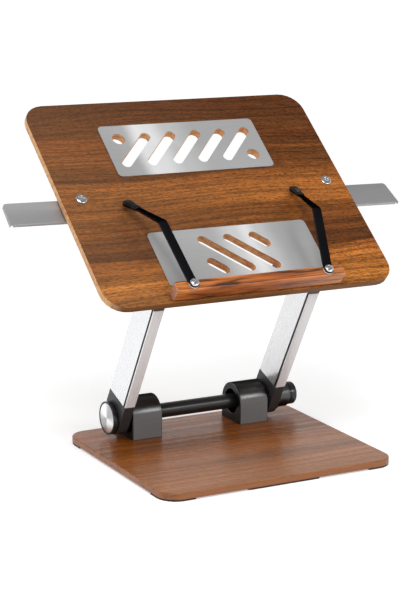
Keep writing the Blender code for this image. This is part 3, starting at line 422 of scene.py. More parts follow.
# the tray's left end gets a painted sheen, set by the pale share
TRAY_WALNUT = walnut("tray_walnut", TRAY_TILT, TRAY_ORIGIN @ TRAY_AXES[1], TRAY_BANDS,
                     # the first, darker edge tone is painted shade on the lower edge; the second
                     # is the core's own tone
                     (paint(112, 72, 38), paint(222, 170, 120)), gloss=0.42, sheen=0.14,
                     pale=0.15, bold=0.65)
BASE_WALNUT = walnut("base_walnut", 0, SHIFT - BASE_DEEP / 2, BASE_BANDS,
                     (paint(140, 86, 48), paint(150, 92, 54)), gloss=0.24, sheen=0.40,
                     pale=0, bold=0.38)
print("veneers:", TRAY_WALNUT.name, BASE_WALNUT.name)

# %% [markdown]
# ### The ledge's redder wood
#
# The ledge is a solid bar, redder than the veneer, with end grain at its two ends.  The same
# stretched noise serves, with broader lines, and the ends get fine dots in place of streaks.
# The bar turns paler towards its right end.

# %% Ledge wood
LEDGE_LONG, LEDGE_HIGH, LEDGE_DEEP = 234 * MM, 15 * MM, 19.2 * MM


def ledge_wood():
    """Reddish hardwood, paler towards the right, with end grain where the face looks along X."""
    look, tree, shader = begin("ledge_wood")
    coordinates = add(tree, "ShaderNodeTexCoord")
    flat = add(tree, "ShaderNodeMapping", n0=coordinates.outputs["Object"],
               Rotation=(-TRAY_TILT, 0, 0)).outputs[0]
    stretched = add(tree, "ShaderNodeMapping", n0=flat, Scale=(14, 190, 190)).outputs[0]
    lines = add(tree, "ShaderNodeTexNoise", Vector=stretched, Scale=1.0, Detail=4.0,
                Roughness=0.6, Distortion=0.5).outputs[0]
    broad = add(tree, "ShaderNodeTexNoise", Vector=add(
        tree, "ShaderNodeMapping", n0=flat, Scale=(9, 34, 34)).outputs[0], Scale=1.0,
        Detail=2.0).outputs[0]
    tone = ramp(tree, broad, [(0.34, paint(118, 58, 22)), (0.50, paint(156, 84, 34)),
                              (0.66, paint(184, 112, 52))])
    place = add(tree, "ShaderNodeSeparateXYZ", n0=flat).outputs[0]
    along = add(tree, "ShaderNodeMapRange", n0=place, n1=40 * MM, n2=LEDGE_LONG / 2).outputs[0]
    tone = mixed(tree, "MIX", along, tone, mixed(tree, "MULTIPLY", 0.5, paint(206, 140, 80),
                                                 tone))
    line_tone = ramp(tree, lines, [(0.38, grey(0.10)), (0.48, grey(0.50)), (0.62, grey(0.80))])
    tone = mixed(tree, "OVERLAY", 0.95, tone, line_tone)
    dots = add(tree, "ShaderNodeTexNoise", Vector=flat, Scale=900.0, Detail=2.0).outputs[0]
    ends = ramp(tree, dots, [(0.35, paint(150, 92, 66)), (0.65, paint(204, 160, 130))])
    normal = add(tree, "ShaderNodeSeparateXYZ", n0=coordinates.outputs["Normal"]).outputs[0]
    side = add(tree, "ShaderNodeMath", {"operation": "ABSOLUTE"}, n0=normal).outputs[0]
    tone = mixed(tree, "MIX", ramp(tree, side, [(0.45, grey(0)), (0.8, grey(1))]), tone, ends)
    tree.links.new(tone, shader.inputs["Base Color"])
    shader.inputs["Roughness"].default_value = 0.36
    bump(tree, shader, lines, 0.12, 0.4 * MM)
    return look


LEDGE_WOOD = ledge_wood()
print("ledge finish:", LEDGE_WOOD.name)

# %% [markdown]
# ### Brushed and polished metal
#
# Brushing leaves thousands of parallel scratches.  They do two things: they streak the surface
# with fine lines, and they smear a reflection across the strokes.  A stretched noise drives the
# streaks in colour and roughness.  The broad bright band across each plate is a painted
# highlight:
# a ramp of colour along the plate, and a slow noise lets it waver.  The spun disc's bright and
# grey sectors are painted highlights as well.

# %% Metals
PLATE_LEFT, PLATE_RIGHT, DRIFT = -100 * MM, 124 * MM, 16 * MM
PLATE_STROKES = (12, 900, 12)


def brushed(name, turn, tones, fine, rough, metal, wide=None):
    """Sheet metal with fine strokes; tones are (place, colour) stops along the face's X, and on
    the plates their bright stops are a painted highlight.

    Metal is how far it mirrors, and wide is the same for the faces that look along X.
    """
    look, tree, shader = begin(name)
    coordinates = add(tree, "ShaderNodeTexCoord")
    flat = add(tree, "ShaderNodeMapping", n0=coordinates.outputs["Object"],
               Rotation=(-turn, 0, 0)).outputs[0]
    strokes = add(tree, "ShaderNodeTexNoise", Vector=add(
        tree, "ShaderNodeMapping", n0=flat, Scale=fine).outputs[0], Scale=1.0, Detail=3.0,
        Roughness=0.6).outputs[0]
    drift = add(tree, "ShaderNodeTexNoise", Vector=flat, Scale=14.0, Detail=1.0).outputs[0]
    spot = add(tree, "ShaderNodeSeparateXYZ", n0=flat)
    # painted highlight: the ramp along X paints the plates' bright band, and the noise makes it
    # waver
    place = add(tree, "ShaderNodeMath", {"operation": "MULTIPLY_ADD"}, n0=drift, n1=DRIFT,
                n2=spot.outputs[0]).outputs[0]
    share = add(tree, "ShaderNodeMapRange", n0=place, n1=PLATE_LEFT, n2=PLATE_RIGHT).outputs[0]
    tone = mixed(tree, "OVERLAY", 0.12, ramp(tree, share, tones), ramp(
        tree, strokes, [(0.3, grey(0.40)), (0.7, grey(0.60))]))
    tree.links.new(tone, shader.inputs["Base Color"])
    tree.links.new(ramp(tree, strokes, [(0.3, grey(rough - 0.02)), (0.7, grey(rough + 0.02))]),
                   shader.inputs["Roughness"])
    shader.inputs["Metallic"].default_value = metal
    if wide:
        normal = add(tree, "ShaderNodeSeparateXYZ", n0=coordinates.outputs["Normal"])
        aside = add(tree, "ShaderNodeMath", {"operation": "ABSOLUTE"}, n0=normal.outputs[0])
        tree.links.new(ramp(tree, aside.outputs[0], [(0.5, grey(metal)), (0.9, grey(wide))]),
                       shader.inputs["Metallic"])
    shader.inputs["Anisotropic"].default_value = 0.5
    bump(tree, shader, strokes, 0.02, 0.05 * MM)
    return look


# the bright stops from 0.22 to 0.42 are a painted highlight band
UPPER_STEEL = brushed("upper_steel", TRAY_TILT, [
    (0.00, paint(178, 178, 178)), (0.12, paint(184, 184, 184)), (0.22, paint(244, 244, 244)),
    (0.30, paint(240, 240, 240)), (0.42, paint(206, 206, 206)), (0.60, paint(184, 184, 184)),
    (1.00, paint(182, 182, 182))], PLATE_STROKES, rough=0.40, metal=0.4)
# the bright stops from 0.50 to 0.66 are a painted highlight band
LOWER_STEEL = brushed("lower_steel", TRAY_TILT, [
    (0.00, paint(180, 180, 180)), (0.34, paint(184, 184, 184)), (0.50, paint(222, 222, 222)),
    (0.58, paint(246, 246, 246)), (0.66, paint(214, 214, 214)), (0.78, paint(186, 186, 186)),
    (1.00, paint(184, 184, 184))], PLATE_STROKES, rough=0.40, metal=0.4)
BAR_STEEL = brushed("bar_sheet", TRAY_TILT, [
    (0.00, paint(176, 176, 177)), (1.00, paint(168, 168, 169))], (16, 1400, 1400), rough=0.42,
    metal=0.6)
ARM_METAL = brushed("arm_metal", LEAN_BACK, [
    (0.00, paint(242, 243, 245)), (1.00, paint(240, 241, 243))], (600, 600, 12), rough=0.26,
    metal=0.05, wide=0.70)


def spun(name, centre):
    """A disc faced on a lathe: circular scratches, from noise on the distance to its axis, and
    two bright and two grey sectors round it as a painted highlight.
    """
    look, tree, shader = begin(name)
    coordinates = add(tree, "ShaderNodeTexCoord")
    moved = add(tree, "ShaderNodeMapping", n0=coordinates.outputs["Object"],
                Location=tuple(-c for c in centre)).outputs[0]
    parts = add(tree, "ShaderNodeSeparateXYZ", n0=moved)
    flat = add(tree, "ShaderNodeCombineXYZ", n1=parts.outputs[1], n2=parts.outputs[2])
    radius = add(tree, "ShaderNodeVectorMath", {"operation": "LENGTH"}, n0=flat.outputs[0])
    rings = add(tree, "ShaderNodeTexNoise", {"noise_dimensions": "1D"},
                W=radius.outputs["Value"], Scale=2400.0, Detail=2.0).outputs[0]
    # painted highlight: the tone swings twice round the disc, giving bright and grey sectors
    angle = add(tree, "ShaderNodeMath", {"operation": "ARCTAN2"}, n0=parts.outputs[2],
                n1=parts.outputs[1]).outputs[0]
    double = add(tree, "ShaderNodeMath", {"operation": "MULTIPLY"}, n0=angle, n1=2.0).outputs[0]
    sheen = add(tree, "ShaderNodeMath", {"operation": "SINE"}, n0=double).outputs[0]
    lift = add(tree, "ShaderNodeMapRange", n0=sheen, n1=-1.0, n2=1.0).outputs[0]
    tone = ramp(tree, lift, [(0.1, paint(176, 176, 178)), (0.9, paint(250, 250, 250))])
    tone = mixed(tree, "OVERLAY", 0.4, tone, ramp(
        tree, rings, [(0.3, grey(0.36)), (0.7, grey(0.64))]))
    tree.links.new(tone, shader.inputs["Base Color"])
    shader.inputs["Metallic"].default_value = 1.0
    shader.inputs["Roughness"].default_value = 0.30
    bump(tree, shader, rings, 0.10, 0.2 * MM)
    return look


SPUN = spun("spun_disc", LOWER_AXIS)
print("metals:", UPPER_STEEL.name, LOWER_STEEL.name, BAR_STEEL.name, SPUN.name)

# %% [markdown]
# ### Black metal, rubber and screws
#
# The hinge parts are black and satin, with a very fine grain from the coating.  A black metal
# with a dark edge tint keeps them from turning pale where they are seen at a slant.  The front
# and back faces of the base's blocks are painted greyer and less metallic: a painted reflection
# of the lit floor.  The rubber of the boots is the blackest, and reflects little.  The screws are
# bright.

# %% Small finishes
def grained(name, colour, rough, grain, metal=0.0, depth=0.06, edge=None, painted_floor_sheen=None,
            sheen=0.5):
    """An even colour with a fine grain; a second colour, for faces that look along Y, is a
    painted reflection of the lit floor.

    Edge tints the reflection at a slant, and sheen is the strength of a plain reflection.
    """
    look, tree, shader = begin(name)
    shader.inputs["Metallic"].default_value = metal
    shader.inputs["Specular IOR Level"].default_value = sheen
    if edge:
        shader.inputs["Specular Tint"].default_value = edge
    coordinates = add(tree, "ShaderNodeTexCoord")
    place, normal = coordinates.outputs["Object"], coordinates.outputs["Normal"]
    fine = add(tree, "ShaderNodeTexNoise", Vector=place, Scale=grain, Detail=2.0).outputs[0]
    slow = add(tree, "ShaderNodeTexNoise", Vector=place, Scale=38.0, Detail=2.0).outputs[0]
    # painted reflection: faces that look along Y take the second, greyer colour and lose their
    # metal
    if painted_floor_sheen:
        along = add(tree, "ShaderNodeSeparateXYZ", n0=normal).outputs[1]
        level = add(tree, "ShaderNodeMath", {"operation": "ABSOLUTE"}, n0=along).outputs[0]
        flat = ramp(tree, level, [(0.90, grey(0)), (0.985, grey(1))])
        colour = mixed(tree, "MIX", flat, colour, painted_floor_sheen)
        tree.links.new(ramp(tree, flat, [(0.0, grey(metal)), (1.0, grey(0))]),
                       shader.inputs["Metallic"])
    tone = mixed(tree, "OVERLAY", 0.15, colour, ramp(
        tree, fine, [(0.3, grey(0.3)), (0.7, grey(0.7))]))
    tree.links.new(tone, shader.inputs["Base Color"])
    tree.links.new(ramp(tree, slow, [(0.3, grey(rough - 0.02)), (0.7, grey(rough + 0.02))]),
                   shader.inputs["Roughness"])
    bump(tree, shader, fine, depth, 0.1 * MM)
    return look


BLACK = grained("black_satin", paint(86, 86, 86), 0.34, 2600, metal=1, edge=grey(0.15))
# the grey for the front and back faces is a painted reflection of the lit floor
BLOCK_BLACK = grained("black_block", paint(86, 86, 86), 0.30, 1200, metal=1, depth=0,
                      edge=grey(0.15), painted_floor_sheen=paint(122, 122, 122))
GROOVE_SHADE = grained("groove_painted_shade", paint(30, 31, 32), 0.50, 1500)
KNUCKLE_BLACK = grained("black_cast", paint(56, 56, 58), 0.46, 1800)
SHAFT_BLACK = grained("black_shaft", paint(34, 34, 35), 0.32, 2600, depth=0.01)
KNOB_BLACK = grained("black_knob", paint(36, 37, 38), 0.20, 1800, depth=0.02)
STRIP_BLACK = grained("black_strip", paint(40, 40, 44), 0.30, 2200, metal=1, edge=grey(0.3))
BOOT_RUBBER = grained("boot_rubber", paint(5, 5, 6), 0.12, 1500, depth=0.01, sheen=0.2)
PAD_RUBBER = grained("pad_rubber", paint(30, 30, 31), 0.70, 1500)
BRIGHT = grained("bright_screw", paint(214, 214, 216), 0.16, 900, metal=1, depth=0.03)
NYLON = grained("pale_washer", paint(232, 228, 224), 0.40, 900)
print("blacks:", BLACK.name, BLOCK_BLACK.name, KNUCKLE_BLACK.name, STRIP_BLACK.name)

# %% [markdown]
# ## The base board
#
# A board with round corners and a soft edge is one surface: the outline gives the first
# parameter, and a profile that runs out over the rounded lower edge, up the side and back in
# over the upper edge gives the second.

# %% Base board
BASE_THICK, BASE_SOFT, PAD_HIGH = 8.2 * MM, 1.3 * MM, 1.6 * MM


def board_rings(loop_at, thick, edge, steps=6, flat_share=1.5):
    """Ring k: the loop inset by edge(1 - sin a), at height edge(1 - cos a) from each face.

    One more ring on each face, a little further in, keeps the face flat up to its edge.
    """
    a = np.linspace(0, math.pi / 2, steps)
    inset = edge * (1 - np.sin(a))
    rise = edge * (1 - np.cos(a))
    inset = np.concatenate([[flat_share * edge], inset, inset[::-1], [flat_share * edge]])
    height = np.concatenate([[0], rise, thick - rise[::-1], [thick]])
    rings = []
    for step, level in zip(inset, height):
        loop = loop_at(step)
        rings.append(np.column_stack([loop, np.full(len(loop), level)]))
    return np.array(rings)


def base_loop(inset):
    """The base's outline, stepped inwards."""
    return rounded_loop(BASE_WIDE, BASE_DEEP, BASE_CORNER, inset, 14)


rings = board_rings(base_loop, BASE_THICK, BASE_SOFT) + [0, SHIFT, PAD_HIGH]
base_board = seat(ring_mesh("base_board_fine", rings), "base_board", BASE_WALNUT)
print("base board:", len(base_board.data.polygons), "faces")

# %% [markdown]
# ## The tray and its plates
#
# The tray's slots run right through the wood, so the wood inside them shows.  Its solid has
# that shape already, and a refined copy with finely broken edges is enough.  The steel plates
# are the same.

# %% Tray board and plates
tray_board = seat(refined("tray_board", BOARD_EDGE), "tray_board", TRAY_WALNUT)
upper_plate = seat(refined("upper_plate"), "upper_plate", UPPER_STEEL)
lower_plate = seat(refined("lower_plate"), "lower_plate", LOWER_STEEL)
print("tray:", [piece.name for piece in (tray_board, upper_plate, lower_plate)])

# %% [markdown]
# ## The ledge
#
# The ledge is built like the base board: an outline with round upper corners, stepped inwards
# over the rounded edges of its back and front.

# %% Ledge bar
SEAT_GAP = 0.3 * MM                  # between two pieces that rest on each other
LEDGE_UP, LEDGE_SOFT, UPPER_CORNER, LOWER_CORNER = 1.8 * MM, 1.8 * MM, 4.5 * MM, 2.1 * MM


def ledge_loop(inset):
    """Outline of the ledge on the tray's face: upper corners rounder than the lower ones."""
    corners = [UPPER_CORNER, UPPER_CORNER, LOWER_CORNER, LOWER_CORNER]
    loop = rounded_loop(LEDGE_LONG, LEDGE_HIGH, corners, inset, 8)
    return loop + [0, LEDGE_UP + LEDGE_HIGH / 2]


rings = board_rings(ledge_loop, LEDGE_DEEP, LEDGE_SOFT) + [0, 0, SEAT_GAP]
ledge = seat(ring_mesh("ledge_fine", rings @ TRAY_AXES + TRAY_ORIGIN), "ledge", LEDGE_WOOD)
print("ledge:", len(ledge.data.vertices), "points")

# %% [markdown]
# ## The arms
#
# Each arm is a drawn tube with a groove in its two wide sides, just behind the front corners.
# The groove's faces are painted near black, a painted shade, so it shows as a dark line down the
# arm.  Its section is a closed loop.  Carried from one slanted end to the other and back through
# the hollow, the loop closes on itself like a very long ring.

# %% Arm section
ARM_HALF_THICK, ARM_HALF_WIDE = 7.1 * MM, 22.2 * MM
HOLLOW_HALF_THICK, HOLLOW_HALF_WIDE = 4.2 * MM, 20.4 * MM
GROOVE_FROM, GROOVE_TO, GROOVE_DEEP, GROOVE_SLOPE = 20.6 * MM, 17 * MM, 1.1 * MM, 0.2 * MM
BACK_FLAT = 2.3 * MM                 # a point before the back corner keeps the side flat
ARM_SOFT = np.array([1.0, 0.2, 0.3, 0.3, 0.2, 0.4, 1.3]) * MM
ARM_FROM, ARM_SHORT_OF, ARM_LIP, LIP_SHARE = 33 * MM, 20 * MM, 0.3 * MM, 0.97
ARM_SLANT = math.radians(7.6)
ARM_SIDE = 109.7 * MM                # from the stand's middle to an arm's middle


def arm_loop():
    """Half outline with a groove by the front corner, mirrored; corners softened by curves."""
    x, y, floor = ARM_HALF_THICK, ARM_HALF_WIDE, ARM_HALF_THICK - GROOVE_DEEP
    half = np.array([[x, -y], [x, -GROOVE_FROM], [floor, GROOVE_SLOPE - GROOVE_FROM],
                     [floor, -GROOVE_TO - GROOVE_SLOPE], [x, -GROOVE_TO], [x, y - BACK_FLAT],
                     [x, y]])
    radii = np.concatenate([ARM_SOFT, ARM_SOFT[::-1]])[:, None]
    return softened(np.concatenate([half, half[::-1] * [-1, 1]]), radii, 4, closed=True)


def arm_rings(x):
    """The section at heights from low to high and back inside: z = height - y tan(slant)."""
    outer = arm_loop()
    inner = outer * [HOLLOW_HALF_THICK / ARM_HALF_THICK, HOLLOW_HALF_WIDE / ARM_HALF_WIDE]
    low, high = ARM_FROM, ARM_LENGTH - ARM_SHORT_OF
    shear = math.tan(ARM_SLANT)
    near = outer * LIP_SHARE
    stack = [(near, low), (outer, low + ARM_LIP), (outer, high - ARM_LIP), (near, high),
             (inner, high), (inner, low)]
    rings = [np.column_stack([loop[:, 0], loop[:, 1], level - loop[:, 1] * shear])
             for loop, level in stack]
    return (np.array(rings) + [x, 0, 0]) @ ARM_AXES + LOWER_AXIS


def in_groove(rings):
    """For each quad of the tube: whether its middle lies below the flat of the wide side."""
    loop = arm_loop()
    middle = (loop + np.roll(loop, -1, axis=0)) / 2
    inside = np.abs(middle[:, 0]) < ARM_HALF_THICK - 0.3 * MM
    inside &= middle[:, 1] > -GROOVE_FROM - 0.9 * MM
    inside &= middle[:, 1] < 1.0 * MM - GROOVE_TO
    outside_rows = np.zeros(len(rings), bool)
    outside_rows[:3] = True
    return (outside_rows[:, None] & inside[None]).ravel()


# %% Arms and their cast ends
for side, word in ((-1, "left"), (1, "right")):
    rings = arm_rings(side * ARM_SIDE)
    tube = ring_mesh("arm_%s_fine" % word, rings, hollow=True, sharp=30)
    seat(tube, "arm_" + word, ARM_METAL)
    # painted shade: the groove's faces get a near-black finish
    tube.data.materials.append(GROOVE_SHADE)
    tube.data.polygons.foreach_set("material_index", in_groove(rings).astype(np.int32))
    for level in ("lower", "upper"):
        node = "%s_knuckle_%s" % (level, word)
        seat(refined(node, limit=35), node, KNUCKLE_BLACK)
print("arms:", len(tube.data.polygons), "faces each")

# %% [markdown]
# ## Hinge blocks
#
# A block seen from its side is a round top over a straight foot, with a bore through it.  The
# outer loop and the bore's circle are given the same number of points, each pair on one ray
# from the axis, so rings can pass from the outside over the rounded edge, across the face and
# through the bore.

# %% Block rings
BLOCK_FROM, BLOCK_WIDE, BLOCK_RADIUS, BLOCK_RISE = 57 * MM, 42 * MM, 24.5 * MM, 25.9 * MM
BLOCK_BORE, BLOCK_SOFT, BORE_SOFT, FACE_RING = 16 * MM, 1.6 * MM, 0.4 * MM, 0.5 * MM


def block_loop(radius, rise, inset):
    """Half circle of radius less inset, then straight sides down to the foot: 71 points."""
    r = radius - inset
    a = np.linspace(0, math.pi, 41)
    down, across = np.linspace(0, 1, 10)[1:], np.linspace(-1, 1, 14)[1:]
    top = np.column_stack([r * np.cos(a), r * np.sin(a)])
    left = np.column_stack([np.full(9, -r), -rise * down])
    foot = np.column_stack([r * across, np.full(13, -rise)])
    right = np.column_stack([np.full(8, r), -rise * down[::-1][1:]])
    return np.concatenate([top, left, foot, right])


def block_rings(start, width, radius, rise, bore, edge, steps=6):
    """Outside with rounded edges; then the far face, the bore and the face at the start."""
    a = np.linspace(0, math.pi / 2, steps)
    inset = np.concatenate([[edge + FACE_RING], edge * (1 - np.sin(a)),
                            edge * (1 - np.sin(a))[::-1], [edge + FACE_RING]])
    along = np.concatenate([[0], edge * (1 - np.cos(a)), width - edge * (1 - np.cos(a))[::-1],
                            [width]])
    outline = block_loop(radius, rise, 0)
    ray = outline / np.linalg.norm(outline, axis=1, keepdims=True)
    loops = [block_loop(radius, rise, step) for step in inset]
    loops += [ray * (bore + BORE_SOFT), ray * bore, ray * bore, ray * (bore + BORE_SOFT)]
    along = np.concatenate([along, [width, width - BORE_SOFT, BORE_SOFT, 0]])
    rings = [np.column_stack([np.full(len(loop), start + x), loop])
             for loop, x in zip(loops, along)]
    return np.array(rings)


# %% Blocks, bushes and the lower shaft
BUSH_FROM, BUSH_LONG, BUSH_RADIUS = 71 * MM, 28 * MM, 15.7 * MM
SHAFT_RADIUS, SHAFT_HALF, STUD_RADIUS, RUN_GAP = 9.5 * MM, 116.5 * MM, 5 * MM, 0.3 * MM
STUD_LEFT, STUD_RIGHT = 121.1 * MM, 142.2 * MM
WASHER_FROM, WASHER_THICK, WASHER_RADIUS = 99.3 * MM, 3 * MM, 18 * MM
POLE = 0.1 * MM                      # radius of the small face that closes a turned piece


def ring_profile(length, outer, inner, soft):
    """A rectangle in (along, radius), with softened corners: the section of a ring."""
    corners = [[0, inner], [0, outer], [length, outer], [length, inner]]
    return softened(corners, soft, 5, closed=True)


for side, word in ((-1, "left"), (1, "right")):
    start = BLOCK_FROM if side > 0 else -BLOCK_FROM - BLOCK_WIDE
    rings = block_rings(start, BLOCK_WIDE, BLOCK_RADIUS, BLOCK_RISE, BLOCK_BORE, BLOCK_SOFT)
    seat(ring_mesh("hinge_block_%s_fine" % word, rings + LOWER_AXIS, hollow=True),
         "hinge_block_" + word, BLOCK_BLACK)
    bush = turned("hinge_bush_%s_fine" % word, LOWER_AXIS + [side * BUSH_FROM, 0, 0], side,
                  ring_profile(BUSH_LONG, BUSH_RADIUS, SHAFT_RADIUS + RUN_GAP, 0.6 * MM),
                  hollow=True)
    seat(bush, "hinge_bush_" + word, SHAFT_BLACK)
    washer = turned("lower_washer_%s_fine" % word, LOWER_AXIS + [side * WASHER_FROM, 0, 0], side,
                    ring_profile(WASHER_THICK, WASHER_RADIUS, SHAFT_RADIUS + RUN_GAP, 0.5 * MM),
                    hollow=True)
    seat(washer, "lower_washer_" + word, BLACK)


def shaft_profile(left, body, right, radius, stud):
    """Stud, shoulder, shaft, shoulder, stud."""
    return softened([[-left, POLE], [-left, stud], [-body, stud], [-body, radius],
                     [body, radius], [body, stud], [right, stud], [right, POLE]], 0.5 * MM)


lower_shaft = turned("lower_shaft_fine", LOWER_AXIS, 1,
                     shaft_profile(STUD_LEFT, SHAFT_HALF, STUD_RIGHT, SHAFT_RADIUS, STUD_RADIUS))
seat(lower_shaft, "lower_shaft", SHAFT_BLACK)
print("lower hinge made")

# %% [markdown]
# ## Cap, hub and clamp knob
#
# These are turned pieces, so each is one profile.  The cap has a groove where it meets the arm
# and a spun metal disc let into its face.  The knob has a groove near its inner end and a well
# rounded rim.

# %% Cap and disc
ARM_OUTSIDE = 117.1 * MM             # where the pieces on the shafts' ends begin
SOCKET_DEEP, SOCKET_RADIUS = 4.3 * MM, STUD_RADIUS + RUN_GAP
NECK_RADIUS, NECK_LONG, NECK_END = 19.6 * MM, 1.2 * MM, 1.8 * MM
CAP_RADIUS, CAP_DEEP, RECESS_RADIUS, RECESS_FLOOR = 21.2 * MM, 7.2 * MM, 19.1 * MM, 5.3 * MM
DISC_RADIUS, DISC_FROM, DISC_TO = 18.8 * MM, 5.6 * MM, 6.8 * MM
CAP_AT = LOWER_AXIS + [-ARM_OUTSIDE, 0, 0]
cap = softened([[SOCKET_DEEP, POLE], [SOCKET_DEEP, SOCKET_RADIUS], [0, SOCKET_RADIUS],
                [0, NECK_RADIUS], [NECK_LONG, NECK_RADIUS], [NECK_END, CAP_RADIUS],
                [CAP_DEEP, CAP_RADIUS], [CAP_DEEP, RECESS_RADIUS],
                [RECESS_FLOOR, RECESS_RADIUS], [RECESS_FLOOR, POLE]], 0.5 * MM)
seat(turned("pivot_cap_fine", CAP_AT, -1, cap), "pivot_cap", KNOB_BLACK)
disc = softened([[DISC_FROM, POLE], [DISC_FROM, DISC_RADIUS], [DISC_TO, DISC_RADIUS],
                 [DISC_TO, POLE]], 0.4 * MM)
seat(turned("pivot_cap_disc_fine", CAP_AT, -1, disc), "pivot_cap_disc", SPUN)

# %% Hub and knob
HUB_RADIUS, HUB_RIM, HUB_LONG = 16.5 * MM, 19.2 * MM, 20.8 * MM
RIM_LONG, RIM_END = 4 * MM, 6.7 * MM
KNOB_RADIUS, KNOB_WAIST, KNOB_LONG = 15 * MM, 14.2 * MM, 11.6 * MM
WAIST_FROM, WAIST_TO = 1.8 * MM, 2.9 * MM
KNOB_SOFT = np.array([0, 0.3, 0.3, 0.6, 0.2, 0.2, 0.2, 0.2, 2.2, 0])[:, None] * MM
hub = softened([[0, SOCKET_RADIUS], [0, HUB_RIM], [RIM_LONG, HUB_RIM], [RIM_END, HUB_RADIUS],
                [HUB_LONG, HUB_RADIUS], [HUB_LONG, SOCKET_RADIUS]], 1 * MM, 6, closed=True)
seat(turned("clamp_hub_fine", LOWER_AXIS + [ARM_OUTSIDE, 0, 0], 1, hub, hollow=True),
     "clamp_hub", BLACK)
knob = softened([[SOCKET_DEEP, POLE], [SOCKET_DEEP, SOCKET_RADIUS], [0, SOCKET_RADIUS],
                 [0, KNOB_RADIUS], [WAIST_FROM, KNOB_RADIUS], [WAIST_FROM, KNOB_WAIST],
                 [WAIST_TO, KNOB_WAIST], [WAIST_TO, KNOB_RADIUS], [KNOB_LONG, KNOB_RADIUS],
                 [KNOB_LONG, POLE]], KNOB_SOFT, 6)
knob_from = ARM_OUTSIDE + HUB_LONG + RUN_GAP
seat(turned("clamp_knob_fine", LOWER_AXIS + [knob_from, 0, 0], 1, knob), "clamp_knob",
     KNOB_BLACK)
print("cap, disc, hub and knob made")

# %% [markdown]
# ## The upper hinge
#
# Behind the tray a thinner shaft carries two blocks with screw feet.  Most of it is hidden from
# the front, but it shows from the sides and the back, so it gets the same care.

# %% Upper hinge
UPPER_RADIUS, UPPER_STUD, UPPER_STUD_END = 7 * MM, 4 * MM, 120.1 * MM
UPPER_WASHER, DOME_SOCKET = 15 * MM, 3.3 * MM
DOME_RADIUS, DOME_RIM, DOME_TOP_RADIUS, DOME_SHOULDER, DOME_HIGH = (
    13.9 * MM, 3 * MM, 8 * MM, 4.9 * MM, 5 * MM)
DOME_SOFT = np.array([0, 0.3, 0.3, 0.3, 1.5, 2.5, 0])[:, None] * MM
upper_shaft = turned("upper_shaft_fine", UPPER_AXIS, 1,
                     shaft_profile(UPPER_STUD_END, SHAFT_HALF, UPPER_STUD_END, UPPER_RADIUS,
                                   UPPER_STUD))
seat(upper_shaft, "upper_shaft", SHAFT_BLACK)
bore = UPPER_STUD + RUN_GAP
dome = softened([[DOME_SOCKET, POLE], [DOME_SOCKET, bore], [0, bore], [0, DOME_RADIUS],
                 [DOME_RIM, DOME_RADIUS], [DOME_SHOULDER, DOME_TOP_RADIUS],
                 [DOME_HIGH, POLE]], DOME_SOFT, 6)
for side, word in ((-1, "left"), (1, "right")):
    washer = turned("upper_washer_%s_fine" % word, UPPER_AXIS + [side * WASHER_FROM, 0, 0], side,
                    ring_profile(WASHER_THICK, UPPER_WASHER, UPPER_RADIUS + RUN_GAP, 0.5 * MM),
                    hollow=True)
    seat(washer, "upper_washer_" + word, BLACK)
    cap = turned("upper_cap_%s_fine" % word, UPPER_AXIS + [side * ARM_OUTSIDE, 0, 0], side, dome)
    seat(cap, "upper_cap_" + word, KNOB_BLACK)
    node = "tray_block_" + word
    seat(refined(node, SOFT_EDGE, 40), node, BLACK)
print("upper hinge made")

# %% [markdown]
# ## Page clips
#
# A clip is a strip of spring steel: flat under its screw, rising to a bend, then falling to the
# page, where a rubber boot covers its tip.  The strip is a rounded section carried along that
# path.  Its first end is round in front view, so there the section narrows as a circle does.
# The middle of the bend is an arc, because thin steel doesn't fold sharply.

# %% The strip's path
CLIP_SIDE, CLIP_UP, CLIP_SEAT = 93.2 * MM, 9.3 * MM, 21.1 * MM
CLIP_THICK, CLIP_WIDTH, TIP_WIDTH, CLIP_SOFT = 1.6 * MM, 12.4 * MM, 6 * MM, 0.5 * MM
FLAT, TO_BEND, RISE, TO_TIP = 9 * MM, 82.2 * MM, 18.7 * MM, 66.3 * MM
BEND, TIP_OUT = 5 * MM, 4.6 * MM
FLAT_STOPS, RISE_FROM, SHORT_OF_TIP = [4 * MM, 8.2 * MM], 9.8 * MM, 1 * MM
HEEL_LEAST_SHARE = 0.004             # keeps the round end's last section from closing fully


def smooth(value):
    """Smooth step: 3v^2 - 2v^3 of the value held between 0 and 1."""
    v = np.clip(value, 0, 1)
    return v * v * (3 - 2 * v)


def strip_path():
    """Flat, a straight rise, an arc of radius BEND, a straight fall; as (along, out) points."""
    rise = math.atan2(RISE, TO_BEND - FLAT)
    tip_out = TIP_OUT - CLIP_SEAT - CLIP_THICK / 2
    fall = math.atan2(RISE - tip_out, TO_TIP)
    back = BEND * math.tan((rise + fall) / 2)
    centre = np.array([TO_BEND - back * math.cos(rise) + BEND * math.sin(rise),
                       RISE - back * math.sin(rise) - BEND * math.cos(rise)])
    a = np.linspace(math.pi / 2 + rise, math.pi / 2 - fall, 12)
    bend = centre + BEND * np.column_stack([np.cos(a), np.sin(a)])
    heel = -CLIP_WIDTH / 2 * np.cos(np.linspace(0, math.pi / 2, 12))
    flat = np.column_stack([np.concatenate([heel, FLAT_STOPS]), np.zeros(14)])
    start = np.array([[RISE_FROM, (RISE_FROM - FLAT) * math.tan(rise)]])
    tip = np.array([TO_BEND + TO_TIP, tip_out])
    stop = tip - SHORT_OF_TIP * np.array([math.cos(fall), -math.sin(fall)])
    return np.concatenate([flat, start, bend, [stop]]), tip, fall


